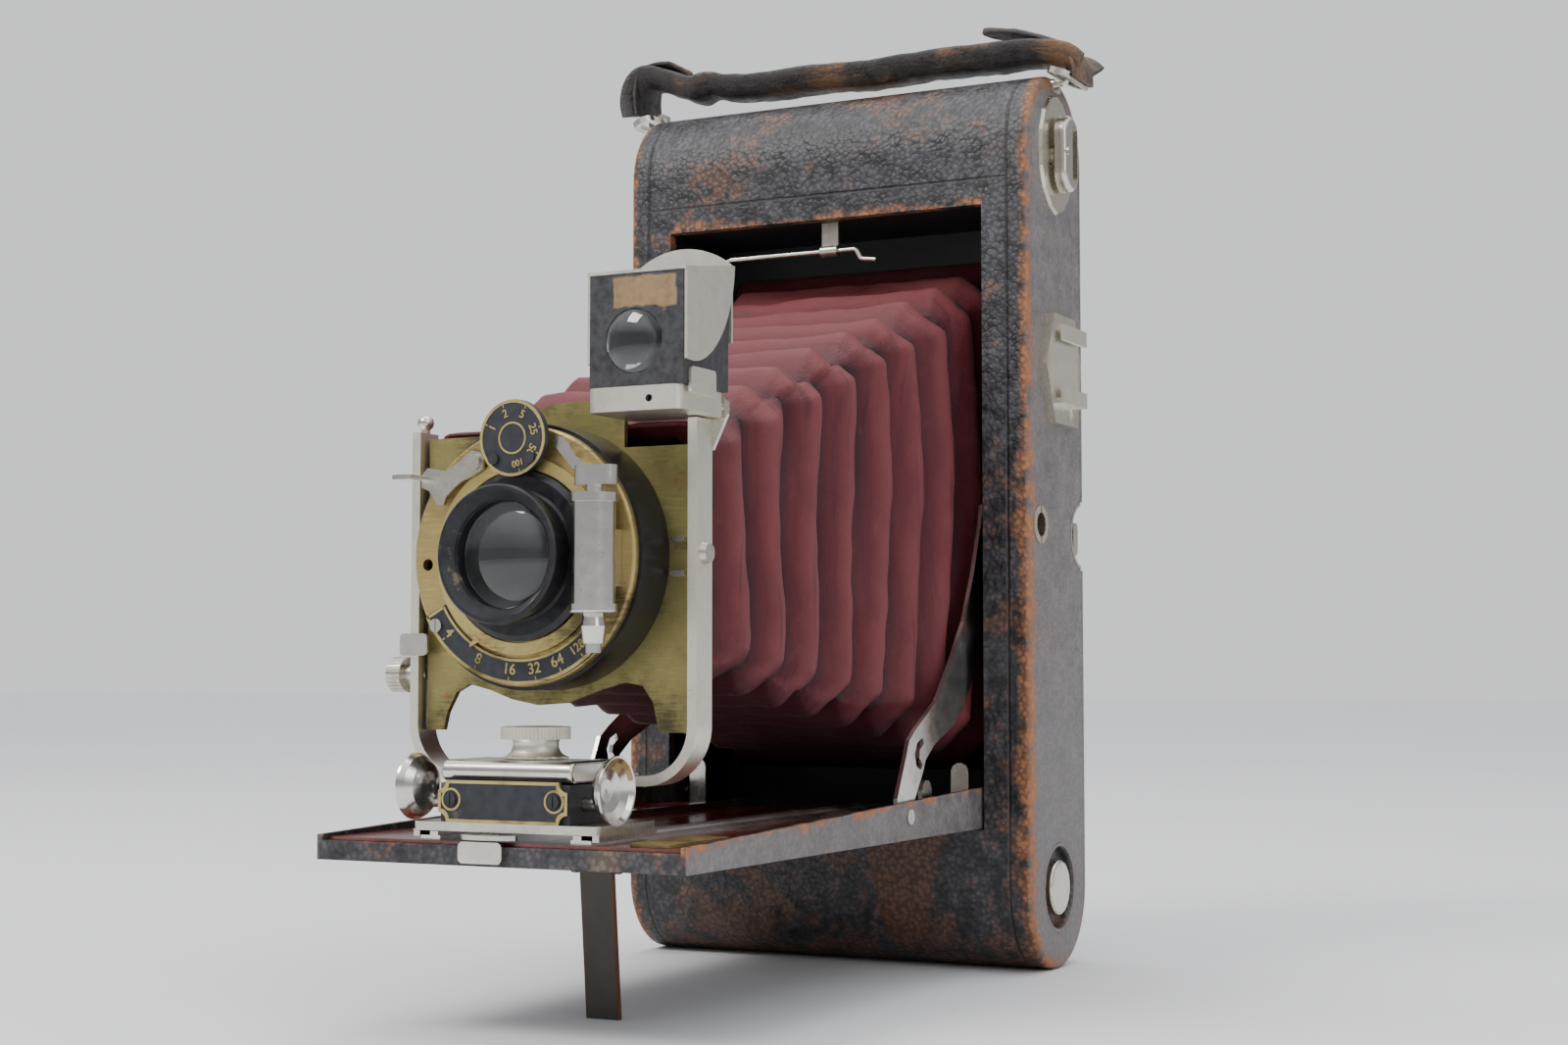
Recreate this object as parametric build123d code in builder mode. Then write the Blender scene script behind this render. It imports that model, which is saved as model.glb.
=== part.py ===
from build123d import *
import os

os.makedirs("parts", exist_ok=True)

# Folding bellows roll-film camera, standing on its rounded end and on the
# folding leg of its open bed.  Millimetres, +Z up, lens faces -Y.
# Construction coordinates have x = 0 on the lens axis, y = 0 on the middle
# of the case depth and z = 0 on the table; OX, OY move them to the origin at
# the bottom centre of the whole outline.
OX, OY = -0.958, 79.975

# ---- driving dimensions ----------------------------------------------------
CASE_H = 241.0          # height of the case
CASE_HW = 60.5          # half width of the case
CASE_R = 21.5           # radius of the rounded ends = half the depth
WALL = 3.3              # wall of the case
OPEN_HW = 47.5          # front opening, half width
OPEN_Z0, OPEN_Z1 = 37.7, 203.5
COVER_Y = 18.6          # where the back cover meets the case
GATE_Y = 14.0           # front of the film gate plate
GATE_HW, GATE_HH = 41.3, 69.85   # film aperture, half sizes
GATE_Z = 122.0
SPOOL_Z0, SPOOL_Z1 = 21.5, 219.5
BED_HW = 46.5           # bed, half width
BED_Y0 = -179.8         # front end of the bed
BED_T = 5.8             # thickness of the bed at its front
LENS_Z = 104.0          # height of the lens axis
FRAME_Y = -155.0        # plane of the lens standard
FRAME_HW = 37.0         # half width of the U-shaped standard
FRAME_TOP = 133.5
FACE_Y = -170.0         # front face of the shutter
RIM_Y = -180.4          # front of the lens rim
KEY_Z = 219.5
LEG_X = -1.8            # middle of the bed leg


def top(z, x=0.0, y=0.0):
    return Plane(origin=(x + OX, y + OY, z), x_dir=(1, 0, 0), z_dir=(0, 0, 1))


def front(y, x=0.0, z=0.0):
    return Plane(origin=(x + OX, y + OY, z), x_dir=(1, 0, 0), z_dir=(0, -1, 0))


def side(x, y=0.0, z=0.0):
    return Plane(origin=(x + OX, y + OY, z), x_dir=(0, 1, 0), z_dir=(1, 0, 0))


MID_Z = CASE_H / 2
SLOT_L = CASE_H         # overall length of the stadium profile

# ============================ CASE ==========================================
with BuildPart() as case_body:
    with BuildSketch(side(-CASE_HW, 0, MID_Z)):
        SlotOverall(SLOT_L, 2 * CASE_R, rotation=90)
    extrude(amount=2 * CASE_HW)
    _rim = [e for e in case_body.edges() if abs(abs(e.center().X - OX) - CASE_HW) < 0.01]
    fillet(_rim, 1.6)
    with BuildSketch(side(-57.0, 0, MID_Z)):
        SlotOverall(SLOT_L - 2 * WALL, 2 * (CASE_R - WALL), rotation=90)
    extrude(amount=114.0, mode=Mode.SUBTRACT)
    # open back
    with BuildSketch(front(30.0, 0, MID_Z)):
        Rectangle(2 * CASE_HW + 4, CASE_H + 4)
    extrude(amount=30.0 - COVER_Y, mode=Mode.SUBTRACT)
    with BuildSketch(front(COVER_Y + 1, 0, MID_Z)):
        Rectangle(114.0, 211.0)
    extrude(amount=5.0, mode=Mode.SUBTRACT)
    # front opening
    with BuildSketch(front(-10.0, 0, (OPEN_Z0 + OPEN_Z1) / 2)):
        Rectangle(2 * OPEN_HW, OPEN_Z1 - OPEN_Z0)
    extrude(amount=15.0, mode=Mode.SUBTRACT)
    # key shaft, spool pin and socket holes in the side walls
    with BuildSketch(side(50.0, 0, SPOOL_Z1)):
        Circle(3.05)
    extrude(amount=15.0, mode=Mode.SUBTRACT)
    with BuildSketch(side(50.0, 0, SPOOL_Z0)):
        Circle(12.0)
    extrude(amount=15.0, mode=Mode.SUBTRACT)
    with BuildSketch(side(-65.0, 0, SPOOL_Z0)):
        Circle(12.0)
    extrude(amount=15.0, mode=Mode.SUBTRACT)
    with BuildSketch(side(-65.0, 0, SPOOL_Z1)):
        Circle(12.0)
    extrude(amount=15.0, mode=Mode.SUBTRACT)
    with BuildSketch(side(50.0, -13.0, 118.0)):
        Circle(5.2)
    extrude(amount=15.0, mode=Mode.SUBTRACT)
    # half-round notch for the back catch
    with BuildSketch(side(50.0, COVER_Y + 1.5, 116.5)):
        Circle(9.6)
    extrude(amount=15.0, mode=Mode.SUBTRACT)
case_body.part.label = "case_body"
export_step(case_body.part, "parts/case_body.step")

with BuildPart() as back_cover:
    with BuildSketch(side(-CASE_HW, 0, MID_Z)):
        SlotOverall(SLOT_L, 2 * CASE_R, rotation=90)
    extrude(amount=2 * CASE_HW)
    _rim = [e for e in back_cover.edges() if abs(abs(e.center().X - OX) - CASE_HW) < 0.01]
    fillet(_rim, 1.6)
    with BuildSketch(front(COVER_Y + 0.15, 0, MID_Z)):
        Rectangle(2 * CASE_HW + 4, CASE_H + 4)
    extrude(amount=60.0, mode=Mode.SUBTRACT)
    # locating lip that enters the case
    with BuildSketch(front(COVER_Y + 0.5, 0, MID_Z)):
        Rectangle(113.0, 209.0)
        Rectangle(108.0, 204.0, mode=Mode.SUBTRACT)
    extrude(amount=2.4)
    # round window seat
    with BuildSketch(front(23.0, 24.0, 96.0)):
        Circle(6.05)
    extrude(amount=6.0, mode=Mode.SUBTRACT)
    with BuildSketch(front(23.0, 24.0, 96.0)):
        Circle(7.45)
    extrude(amount=2.35, mode=Mode.SUBTRACT)
    with BuildSketch(side(50.0, COVER_Y + 1.5, 116.5)):
        Circle(9.6)
    extrude(amount=15.0, mode=Mode.SUBTRACT)
back_cover.part.label = "back_cover"
export_step(back_cover.part, "parts/back_cover.step")

with BuildPart() as window_ring:
    with BuildSketch(front(21.45, 24.0, 96.0)):
        Circle(7.4)
        Circle(4.6, mode=Mode.SUBTRACT)
    extrude(amount=0.75)
    with BuildSketch(front(21.2, 24.0, 96.0)):
        Circle(6.0)
        Circle(4.6, mode=Mode.SUBTRACT)
    extrude(amount=2.4)
window_ring.part.label = "window_ring"

with BuildPart() as red_window:
    with BuildSketch(front(20.9, 24.0, 96.0)):
        Circle(4.55)
    extrude(amount=1.2)
red_window.part.label = "red_window"

# sliding catch that holds the back, in the notch of the +X side
with BuildPart() as catch_cup:
    with BuildSketch(side(57.0, COVER_Y + 1.5, 116.5)):
        Circle(9.5)
        with Locations((10.0 - 1.6, 0)):
            Rectangle(20.0, 24.0, mode=Mode.SUBTRACT)
    extrude(amount=0.8)
    with BuildSketch(side(57.0, COVER_Y + 1.5, 116.5)):
        Circle(9.5)
        Circle(8.5, mode=Mode.SUBTRACT)
        with Locations((10.0 - 1.6, 0)):
            Rectangle(20.0, 24.0, mode=Mode.SUBTRACT)
    extrude(amount=3.6)
catch_cup.part.label = "catch_cup"
export_step(catch_cup.part, "parts/catch_cup.step")

with BuildPart() as back_catch:
    with BuildSketch(side(58.0, COVER_Y - 3.2, 115.5)):
        RectangleRounded(3.6, 9.0, 1.6)
    extrude(amount=2.2)
back_catch.part.label = "back_catch"
export_step(back_catch.part, "parts/back_catch.step")

# light box: walls off the two film chambers and carries the film gate
with BuildPart() as film_gate:
    with BuildSketch(front(GATE_Y + 1.6, 0, (OPEN_Z0 + OPEN_Z1) / 2)):
        Rectangle(113.6, OPEN_Z1 - OPEN_Z0 + 2.4)
    extrude(amount=1.6)
    with BuildSketch(front(GATE_Y, 0, (OPEN_Z0 + OPEN_Z1) / 2)):
        Rectangle(2 * OPEN_HW + 2.4, OPEN_Z1 - OPEN_Z0 + 2.4)
        Rectangle(2 * OPEN_HW, OPEN_Z1 - OPEN_Z0, mode=Mode.SUBTRACT)
    extrude(amount=GATE_Y + 18.0)
    with BuildSketch(front(GATE_Y + 3.0, 0, GATE_Z)):
        Rectangle(2 * GATE_HW, 2 * GATE_HH)
    extrude(amount=5.0, mode=Mode.SUBTRACT)
    with BuildSketch(side(-50.0, -16.0, 45.6)):
        Circle(1.23)
    extrude(amount=100.0, mode=Mode.SUBTRACT)
    # ears for the two guide rollers
    for zc, zo in ((31.9, 34.5), (209.3, 206.7)):
        for xs in (-52.4, 51.2):
            with BuildSketch(side(xs, 12.0, zo)):
                Rectangle(5.0, 11.0)
            extrude(amount=1.2)
            with BuildSketch(side(xs - 1, 12.2, zc)):
                Circle(1.06)
            extrude(amount=4.0, mode=Mode.SUBTRACT)
film_gate.part.label = "film_gate"
export_step(film_gate.part, "parts/film_gate.step")

with BuildPart() as lower_roller:
    with BuildSketch(side(-50.6, 12.2, 31.9)):
        Circle(2.4)
    extrude(amount=101.2)
    with BuildSketch(side(-52.4, 12.2, 31.9)):
        Circle(1.0)
    extrude(amount=104.8)
lower_roller.part.label = "lower_roller"
export_step(lower_roller.part, "parts/lower_roller.step")

with BuildPart() as upper_roller:
    with BuildSketch(side(-50.6, 12.2, 209.3)):
        Circle(2.4)
    extrude(amount=101.2)
    with BuildSketch(side(-52.4, 12.2, 209.3)):
        Circle(1.0)
    extrude(amount=104.8)
upper_roller.part.label = "upper_roller"
export_step(upper_roller.part, "parts/upper_roller.step")

# film spools: wooden core, two metal flanges, through bore, key slot
with BuildPart() as supply_spool:
    with BuildSketch(side(-46.0, 0, SPOOL_Z0)):
        Circle(5.5)
    extrude(amount=92.0)
    for xs in (-47.0, 46.0):
        with BuildSketch(side(xs, 0, SPOOL_Z0)):
            Circle(13.0)
        extrude(amount=1.0)
    with BuildSketch(side(-48.0, 0, SPOOL_Z0)):
        Circle(2.3)
    extrude(amount=96.0, mode=Mode.SUBTRACT)
supply_spool.part.label = "supply_spool"
export_step(supply_spool.part, "parts/supply_spool.step")

with BuildPart() as take_up_spool:
    with BuildSketch(side(-46.0, 0, SPOOL_Z1)):
        Circle(5.5)
    extrude(amount=92.0)
    for xs in (-47.0, 46.0):
        with BuildSketch(side(xs, 0, SPOOL_Z1)):
            Circle(13.0)
        extrude(amount=1.0)
    with BuildSketch(side(-48.0, 0, SPOOL_Z1)):
        Circle(2.3)
    extrude(amount=96.0, mode=Mode.SUBTRACT)
    with BuildSketch(side(44.0, 0, SPOOL_Z1)):
        Rectangle(1.3, 8.4)
    extrude(amount=4.0, mode=Mode.SUBTRACT)
take_up_spool.part.label = "take_up_spool"
export_step(take_up_spool.part, "parts/take_up_spool.step")

# winding key: shaft with a blade, dished plate on the case, ring handle
with BuildPart() as winding_shaft:
    with BuildSketch(side(48.0, 0, KEY_Z)):
        Circle(3.0)
    extrude(amount=14.4)
    with BuildSketch(side(45.0, 0, KEY_Z)):
        Rectangle(1.1, 7.6)
    extrude(amount=3.5)
winding_shaft.part.label = "winding_shaft"

with BuildPart() as winding_plate:
    with BuildSketch(side(CASE_HW, 0, KEY_Z)):
        with BuildLine():
            Polyline((0, 16.5), (-4.5, 15.2), (-9.5, 11.0), (-12.0, 5.0), (-12.4, 0.0), (-12.0, -5.0),
                     (-9.5, -10.5), (-4.5, -14.8), (0, -16.5), (4.5, -14.8), (9.5, -10.5),
                     (12.0, -5.0), (12.4, 0.0), (12.0, 5.0), (9.5, 11.0), (4.5, 15.2), (0, 16.5))
        make_face()
        Circle(3.3, mode=Mode.SUBTRACT)
    extrude(amount=0.9, taper=20)
winding_plate.part.label = "winding_plate"
export_step(winding_plate.part, "parts/winding_plate.step")

with BuildPart() as winding_key:
    with BuildSketch(side(62.4, 0, KEY_Z)):
        SlotOverall(21.0, 10.5, rotation=90)
    extrude(amount=3.4)
    _e = winding_key.edges().group_by(Axis.X)[-1]
    fillet(_e, 1.5)
    with BuildSketch(side(63.4, 1.6, KEY_Z)):
        SlotOverall(15.5, 3.6, rotation=90)
    extrude(amount=4.0, mode=Mode.SUBTRACT)
    with BuildSketch(side(64.2, -4.0, KEY_Z)):
        Circle(1.0)
    extrude(amount=3.0, mode=Mode.SUBTRACT)
winding_key.part.label = "winding_key"

with BuildPart() as key_pivot:
    with BuildSketch(side(64.2, -4.0, KEY_Z)):
        Circle(1.0)
    extrude(amount=2.2)
key_pivot.part.label = "key_pivot"

# pressed cups round the three pull pins
with BuildPart() as pin_cups:
    for xs, zc, sx in ((60.5, SPOOL_Z0, -1), (-60.5, SPOOL_Z0, 1), (-60.5, SPOOL_Z1, 1)):
        with BuildSketch(side(xs, 0, zc)):
            Circle(11.9)
            Circle(2.32, mode=Mode.SUBTRACT)
        extrude(amount=3.2 * sx)
        with BuildSketch(side(xs, 0, zc)):
            Circle(11.0)
        extrude(amount=2.2 * sx, taper=8 , mode=Mode.SUBTRACT)
pin_cups.part.label = "pin_cups"
export_step(pin_cups.part, "parts/pin_cups.step")

with BuildPart() as lower_pin:
    with BuildSketch(side(42.0, 0, SPOOL_Z0)):
        Circle(2.24)
    extrude(amount=16.5)
    with BuildSketch(side(58.5, 0, SPOOL_Z0)):
        Circle(7.3)
    extrude(amount=2.4)
    _e = lower_pin.edges().group_by(Axis.X)[-1]
    fillet(_e, 0.8)
    with BuildSketch(side(50.5, 0, SPOOL_Z0)):
        Circle(3.4)
    extrude(amount=1.2)
lower_pin.part.label = "lower_pin"
export_step(lower_pin.part, "parts/lower_pin.step")

with BuildPart() as far_lower_pin:
    with BuildSketch(side(-58.5, 0, SPOOL_Z0)):
        Circle(2.24)
    extrude(amount=16.5)
    with BuildSketch(side(-60.9, 0, SPOOL_Z0)):
        Circle(7.3)
    extrude(amount=2.4)
    _e = far_lower_pin.edges().group_by(Axis.X)[0]
    fillet(_e, 0.8)
    with BuildSketch(side(-51.7, 0, SPOOL_Z0)):
        Circle(3.4)
    extrude(amount=1.2)
far_lower_pin.part.label = "far_lower_pin"
export_step(far_lower_pin.part, "parts/far_lower_pin.step")

with BuildPart() as far_upper_pin:
    with BuildSketch(side(-58.5, 0, SPOOL_Z1)):
        Circle(2.24)
    extrude(amount=16.5)
    with BuildSketch(side(-60.9, 0, SPOOL_Z1)):
        Circle(7.3)
    extrude(amount=2.4)
    _e = far_upper_pin.edges().group_by(Axis.X)[0]
    fillet(_e, 0.8)
    with BuildSketch(side(-51.7, 0, SPOOL_Z1)):
        Circle(3.4)
    extrude(amount=1.2)
far_upper_pin.part.label = "far_upper_pin"
export_step(far_upper_pin.part, "parts/far_upper_pin.step")

# accessory shoe on its six-sided plate
with BuildPart() as shoe_plate:
    with BuildSketch(side(CASE_HW, -0.6, 160.6)):
        with BuildLine():
            Polyline((-13.2, 0.3), (-7.0, 14.6), (9.5, 14.6), (14.0, 2.0), (11.0, -15.0), (-6.5, -15.0), (-13.2, 0.3))
        make_face()
    extrude(amount=2.4)
    with Locations(side(CASE_HW + 2.4, -0.6, 160.6)):
        with Locations((5.0, -11.8)):
            CounterSinkHole(0.9, 1.7, depth=2.4)
shoe_plate.part.label = "shoe_plate"
export_step(shoe_plate.part, "parts/shoe_plate.step")

with BuildPart() as accessory_shoe:
    with BuildSketch(side(CASE_HW + 2.4, -1.0, 161.0)):
        Rectangle(18.0, 21.0)
    extrude(amount=1.0)
    for s in (-1, 1):
        with BuildSketch(side(CASE_HW + 3.4, -1.0, 161.0 + s * 9.8)):
            Rectangle(18.0, 1.4)
        extrude(amount=2.6)
        with BuildSketch(side(CASE_HW + 5.0, -1.0, 161.0 + s * 8.4)):
            Rectangle(18.0, 4.2)
        extrude(amount=1.0)
accessory_shoe.part.label = "accessory_shoe"

with BuildPart() as shoe_screws:
    with BuildSketch(side(CASE_HW + 1.0, 4.4, 148.8)):
        Circle(0.85)
    extrude(amount=1.0)
    with BuildSketch(side(CASE_HW + 2.0, 4.4, 148.8)):
        Circle(1.2)
    extrude(amount=0.35)
shoe_screws.part.label = "shoe_screws"

# tripod socket: brass bush with a threaded hole, closed by a slotted plug
with BuildPart() as tripod_bush:
    with BuildSketch(side(51.5, -13.0, 118.0)):
        Circle(5.15)
        Circle(3.2, mode=Mode.SUBTRACT)
    extrude(amount=8.4)
tripod_bush.part.label = "tripod_bush"

with BuildPart() as plug_washer:
    with BuildSketch(side(59.9, -13.0, 118.0)):
        Circle(5.15)
        Circle(3.2, mode=Mode.SUBTRACT)
    extrude(amount=0.9)
    with BuildSketch(side(60.3, -13.0, 118.0)):
        Rectangle(0.9, 12.0)
    extrude(amount=1.0, mode=Mode.SUBTRACT)
plug_washer.part.label = "plug_washer"

# wire spring catch across the top of the front opening
with BuildPart() as catch_wire:
    with BuildLine():
        FilletPolyline(
            (-36.0 + OX, -15.5 + OY, 194.0), (-31.0 + OX, -15.5 + OY, 195.6), (8.0 + OX, -15.5 + OY, 195.6),
            (9.5 + OX, -15.5 + OY, 192.8), (14.0 + OX, -15.5 + OY, 192.2), radius=1.2)
    with BuildSketch(Plane(origin=(-36.0 + OX, -15.5 + OY, 194.0), x_dir=(0, 1, 0), z_dir=(5.0, 0, 1.6))):
        Circle(0.7)
    sweep()
catch_wire.part.label = "catch_wire"

with BuildPart() as wire_clip:
    with BuildSketch(side(-2.5, -15.0, 199.2)):
        Rectangle(1.0, 8.6)
    extrude(amount=5.0)
    with BuildSketch(side(-2.5, -15.5, 195.6)):
        Circle(1.6)
    extrude(amount=5.0)
    with BuildSketch(side(-3.5, -15.5, 195.6)):
        Circle(0.74)
    extrude(amount=7.0, mode=Mode.SUBTRACT)
wire_clip.part.label = "wire_clip"

# carrying strap, its rings and eyes
with BuildPart() as strap:
    with BuildSketch(front(-8.0, 0, 0)):
        with BuildLine():
            Polyline((-65.2, 243.0), (-66.4, 249.0), (-63.5, 255.5), (-58.0, 257.6), (-20.0, 254.6), (20.0, 255.0),
                     (42.0, 258.4), (58.0, 256.0), (66.0, 251.6), (70.0, 245.0), (68.0, 241.0), (62.0, 244.6),
                     (56.0, 250.0), (40.0, 252.6), (20.0, 250.6), (-20.0, 250.2), (-56.0, 252.4), (-61.0, 248.6),
                     (-61.8, 243.0), (-65.2, 243.0))
        make_face()
    extrude(amount=-16.0)
    for sx in (-1, 1):
        with BuildSketch(top(234.0, sx * 62.4, 0)):
            Rectangle(6.8, 3.6)
        extrude(amount=12.2, mode=Mode.SUBTRACT)
strap.part.label = "strap"
export_step(strap.part, "parts/strap.step")

with BuildPart() as strap_rings:
    for sx in (-1, 1):
        _c = Plane(origin=(sx * 64.6 + OX, OY, 240.4), x_dir=(0, 1, 0), z_dir=(sx * 0.35, 0, 0.94))
        with BuildSketch(_c):
            RectangleRounded(20.0, 6.8, 3.2)
            RectangleRounded(16.6, 3.4, 1.6, mode=Mode.SUBTRACT)
        extrude(amount=0.85, both=True)
strap_rings.part.label = "strap_rings"

with BuildPart() as strap_eyes:
    for sx in (-1, 1):
        with BuildSketch(side(sx * CASE_HW, 0, 238.4)):
            RectangleRounded(5.6, 3.6, 1.2)
        extrude(amount=sx * 0.8)
        with BuildSketch(front(-1.2, sx * 62.2, 241.3)):
            Circle(2.7)
            with Locations((-sx * 1.3, -2.3)):
                Rectangle(0.8, 4.6)
            Circle(1.75, mode=Mode.SUBTRACT)
            with Locations((-sx * 2.7, 0.9)):
                Rectangle(2.0, 8.0, mode=Mode.SUBTRACT)
        extrude(amount=-2.4)
strap_eyes.part.label = "strap_eyes"

# ============================ BED ===========================================
BZ = 38.0               # underside of the bed
with BuildPart() as bed_panel:
    with BuildSketch(side(-BED_HW, 0, 0)):
        with BuildLine():
            Polyline((BED_Y0, BZ), (BED_Y0, 43.5), (-26.0, 48.5), (-13.0, 48.5), (-13.0, BZ), (BED_Y0, BZ))
        make_face()
    extrude(amount=2 * BED_HW)
    with BuildSketch(top(42.2, 0, (BED_Y0 + 1.4 - 12.0) / 2)):
        Rectangle(2 * BED_HW - 3.0, -BED_Y0 + 1.4 - 12.0 - 4.0 + 4.0)
    extrude(amount=12.0, mode=Mode.SUBTRACT)
    with BuildSketch(side(-BED_HW - 1, -16.0, 45.6)):
        Circle(1.28)
    extrude(amount=2 * BED_HW + 2, mode=Mode.SUBTRACT)
bed_panel.part.label = "bed_panel"
export_step(bed_panel.part, "parts/bed_panel.step")

with BuildPart() as bed_inlay:
    with BuildSketch(top(42.25, 0, (BED_Y0 + 1.8 - 26.0) / 2)):
        Rectangle(89.4, -BED_Y0 - 1.8 - 26.0)
    extrude(amount=0.75)
bed_inlay.part.label = "bed_inlay"
export_step(bed_inlay.part, "parts/bed_inlay.step")

with BuildPart() as bed_rails:
    for sx in (-1, 1):
        with BuildSketch(front(-24.0, sx * 19.0, 43.0)):
            with Locations((0, 0.45)):
                Rectangle(5.0, 0.9)
            with Locations((-sx * 0.9, 1.1)):
                Rectangle(2.0, 1.4)
        extrude(amount=152.0)
bed_rails.part.label = "bed_rails"
export_step(bed_rails.part, "parts/bed_rails.step")

with BuildPart() as hinge_pins:
    for x0 in (-48.6, 44.0):
        with BuildSketch(side(x0, -16.0, 45.6)):
            Circle(1.2)
        extrude(amount=4.6)
hinge_pins.part.label = "hinge_pins"
export_step(hinge_pins.part, "parts/hinge_pins.step")

with BuildPart() as focus_scale:
    with BuildSketch(top(43.05, 35.5, -163.0)):
        RectangleRounded(10.0, 27.0, 1.5)
    extrude(amount=0.7)
focus_scale.part.label = "focus_scale"
export_step(focus_scale.part, "parts/focus_scale.step")

with BuildPart() as bed_catch:
    with BuildSketch(front(BED_Y0 - 0.05, -3.0, 40.9)):
        RectangleRounded(11.0, 4.6, 1.2)
    extrude(amount=1.1)
    with BuildSketch(top(43.6, -2.0, BED_Y0 + 1.0)):
        Ellipse(7.0, 2.6)
    extrude(amount=1.0)
bed_catch.part.label = "bed_catch"
export_step(bed_catch.part, "parts/bed_catch.step")

# folding leg under the front of the bed
LEG_Y, LEG_Z = -135.2, 35.4
with BuildPart() as leg_bracket:
    for xs in (-8.0, 3.2):
        with BuildSketch(side(xs, LEG_Y, LEG_Z)):
            Circle(2.2)
            with Locations((0, 1.2)):
                Rectangle(4.4, 2.6)
            Circle(1.02, mode=Mode.SUBTRACT)
        extrude(amount=1.2)
    with BuildSketch(side(-8.0, LEG_Y + 4.2, BZ - 0.45)):
        Rectangle(12.8, 0.9)
    extrude(amount=1.2)
    with BuildSketch(side(3.2, LEG_Y + 4.2, BZ - 0.45)):
        Rectangle(12.8, 0.9)
    extrude(amount=1.2)
leg_bracket.part.label = "leg_bracket"

with BuildPart() as leg_pin:
    with BuildSketch(side(-8.3, LEG_Y, LEG_Z)):
        Circle(1.0)
    extrude(amount=13.0)
leg_pin.part.label = "leg_pin"

with BuildPart() as bed_leg:
    with BuildSketch(side(LEG_X - 4.3, 0, 0)):
        with BuildLine():
            Polyline((LEG_Y - 0.7, LEG_Z - 0.5), (LEG_Y + 0.7, LEG_Z - 0.5), (-131.1, 0.0), (-132.5, 0.0), (LEG_Y - 0.7, LEG_Z - 0.5))
        make_face()
        with Locations((LEG_Y, LEG_Z)):
            Circle(1.9)
        with Locations((LEG_Y, LEG_Z)):
            Circle(1.04, mode=Mode.SUBTRACT)
    extrude(amount=8.6)
bed_leg.part.label = "bed_leg"
export_step(bed_leg.part, "parts/bed_leg.step")

# curved side struts that hold the bed, with the hook slot at their foot
STRUT = [(-15.2, 123.6), (-16.4, 118.5), (-18.3, 114.0), (-22.0, 104.5), (-28.5, 92.2), (-37.9, 81.0),
         (-47.1, 71.7), (-60.7, 64.6), (-64.5, 62.1), (-66.4, 58.4), (-71.9, 48.2), (-71.9, 43.4), (-61.8, 43.4), (-61.8, 46.9),
         (-56.0, 54.2), (-54.4, 57.0), (-48.2, 60.9), (-36.0, 65.3), (-27.7, 71.5), (-21.2, 79.5),
         (-15.6, 90.1), (-14.0, 104.0), (-14.0, 122.0), (-15.2, 123.6)]
SLOT = [(-57.6, 54.6), (-60.2, 55.6), (-61.2, 58.6), (-59.6, 61.4), (-56.4, 62.6), (-55.4, 61.2),
        (-58.0, 59.6), (-58.4, 57.6), (-56.2, 56.0), (-57.6, 54.6)]
with BuildPart() as left_strut:
    with BuildSketch(side(-45.0, 0, 0)):
        with BuildLine():
            Polyline(*STRUT)
        make_face()
        with BuildLine():
            Polyline(*SLOT)
        make_face(mode=Mode.SUBTRACT)
    extrude(amount=1.1)
left_strut.part.label = "left_strut"

with BuildPart() as right_strut:
    with BuildSketch(side(43.9, 0, 0)):
        with BuildLine():
            Polyline(*STRUT)
        make_face()
        with BuildLine():
            Polyline(*SLOT)
        make_face(mode=Mode.SUBTRACT)
    extrude(amount=1.1)
right_strut.part.label = "right_strut"

with BuildPart() as strut_screws:
    for sx in (-1, 1):
        with BuildSketch(side(sx * 46.5, -68.0, 43.6)):
            Circle(1.9)
        extrude(amount=sx * 0.5)
        with BuildSketch(side(sx * 46.9, -68.0, 43.6)):
            Rectangle(0.5, 5.0)
        extrude(amount=sx * 0.5, mode=Mode.SUBTRACT)
strut_screws.part.label = "strut_screws"

with BuildPart() as strut_posts:
    for sx in (-1, 1):
        with BuildSketch(front(-18.0, sx * 39.6, 50.0)):
            with Locations((0, -2.7)):
                Rectangle(5.0, 10.2)
            with Locations((0, 2.4)):
                Circle(2.5)
        extrude(amount=1.2)
        with BuildSketch(side(sx * 42.0 - 0.6, -48.0, 47.5)):
            with Locations((0, -1.5)):
                Rectangle(6.0, 5.8)
            with Locations((0, 1.2)):
                Circle(3.0)
        extrude(amount=1.2)
strut_posts.part.label = "strut_posts"

# ============================ CARRIAGE ======================================
with BuildPart() as carriage_base:
    with BuildSketch(top(45.0, 0, -164.0)):
        RectangleRounded(46.6, 26.0, 2.0)
    extrude(amount=1.9)
    for sx in (-1, 1):
        with BuildSketch(front(-152.0, sx * 22.6, 44.4)):
            Rectangle(1.6, 1.6)
        extrude(amount=24.0)
    with BuildSketch(top(46.9, 0, -155.5)):
        Rectangle(28.0, 6.4)
    extrude(amount=7.6)
carriage_base.part.label = "carriage_base"
export_step(carriage_base.part, "parts/carriage_base.step")

with BuildPart() as carriage_block:
    with BuildSketch(top(47.0, 0, -167.8)):
        Rectangle(32.6, 16.6)
    extrude(amount=8.3)
    with BuildSketch(top(46.0, 0, -164.0)):
        Circle(2.45)
    extrude(amount=12.0, mode=Mode.SUBTRACT)
    with BuildSketch(side(-20.0, -170.0, 51.0)):
        Circle(1.58)
    extrude(amount=40.0, mode=Mode.SUBTRACT)
carriage_block.part.label = "carriage_block"
export_step(carriage_block.part, "parts/carriage_block.step")

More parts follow.
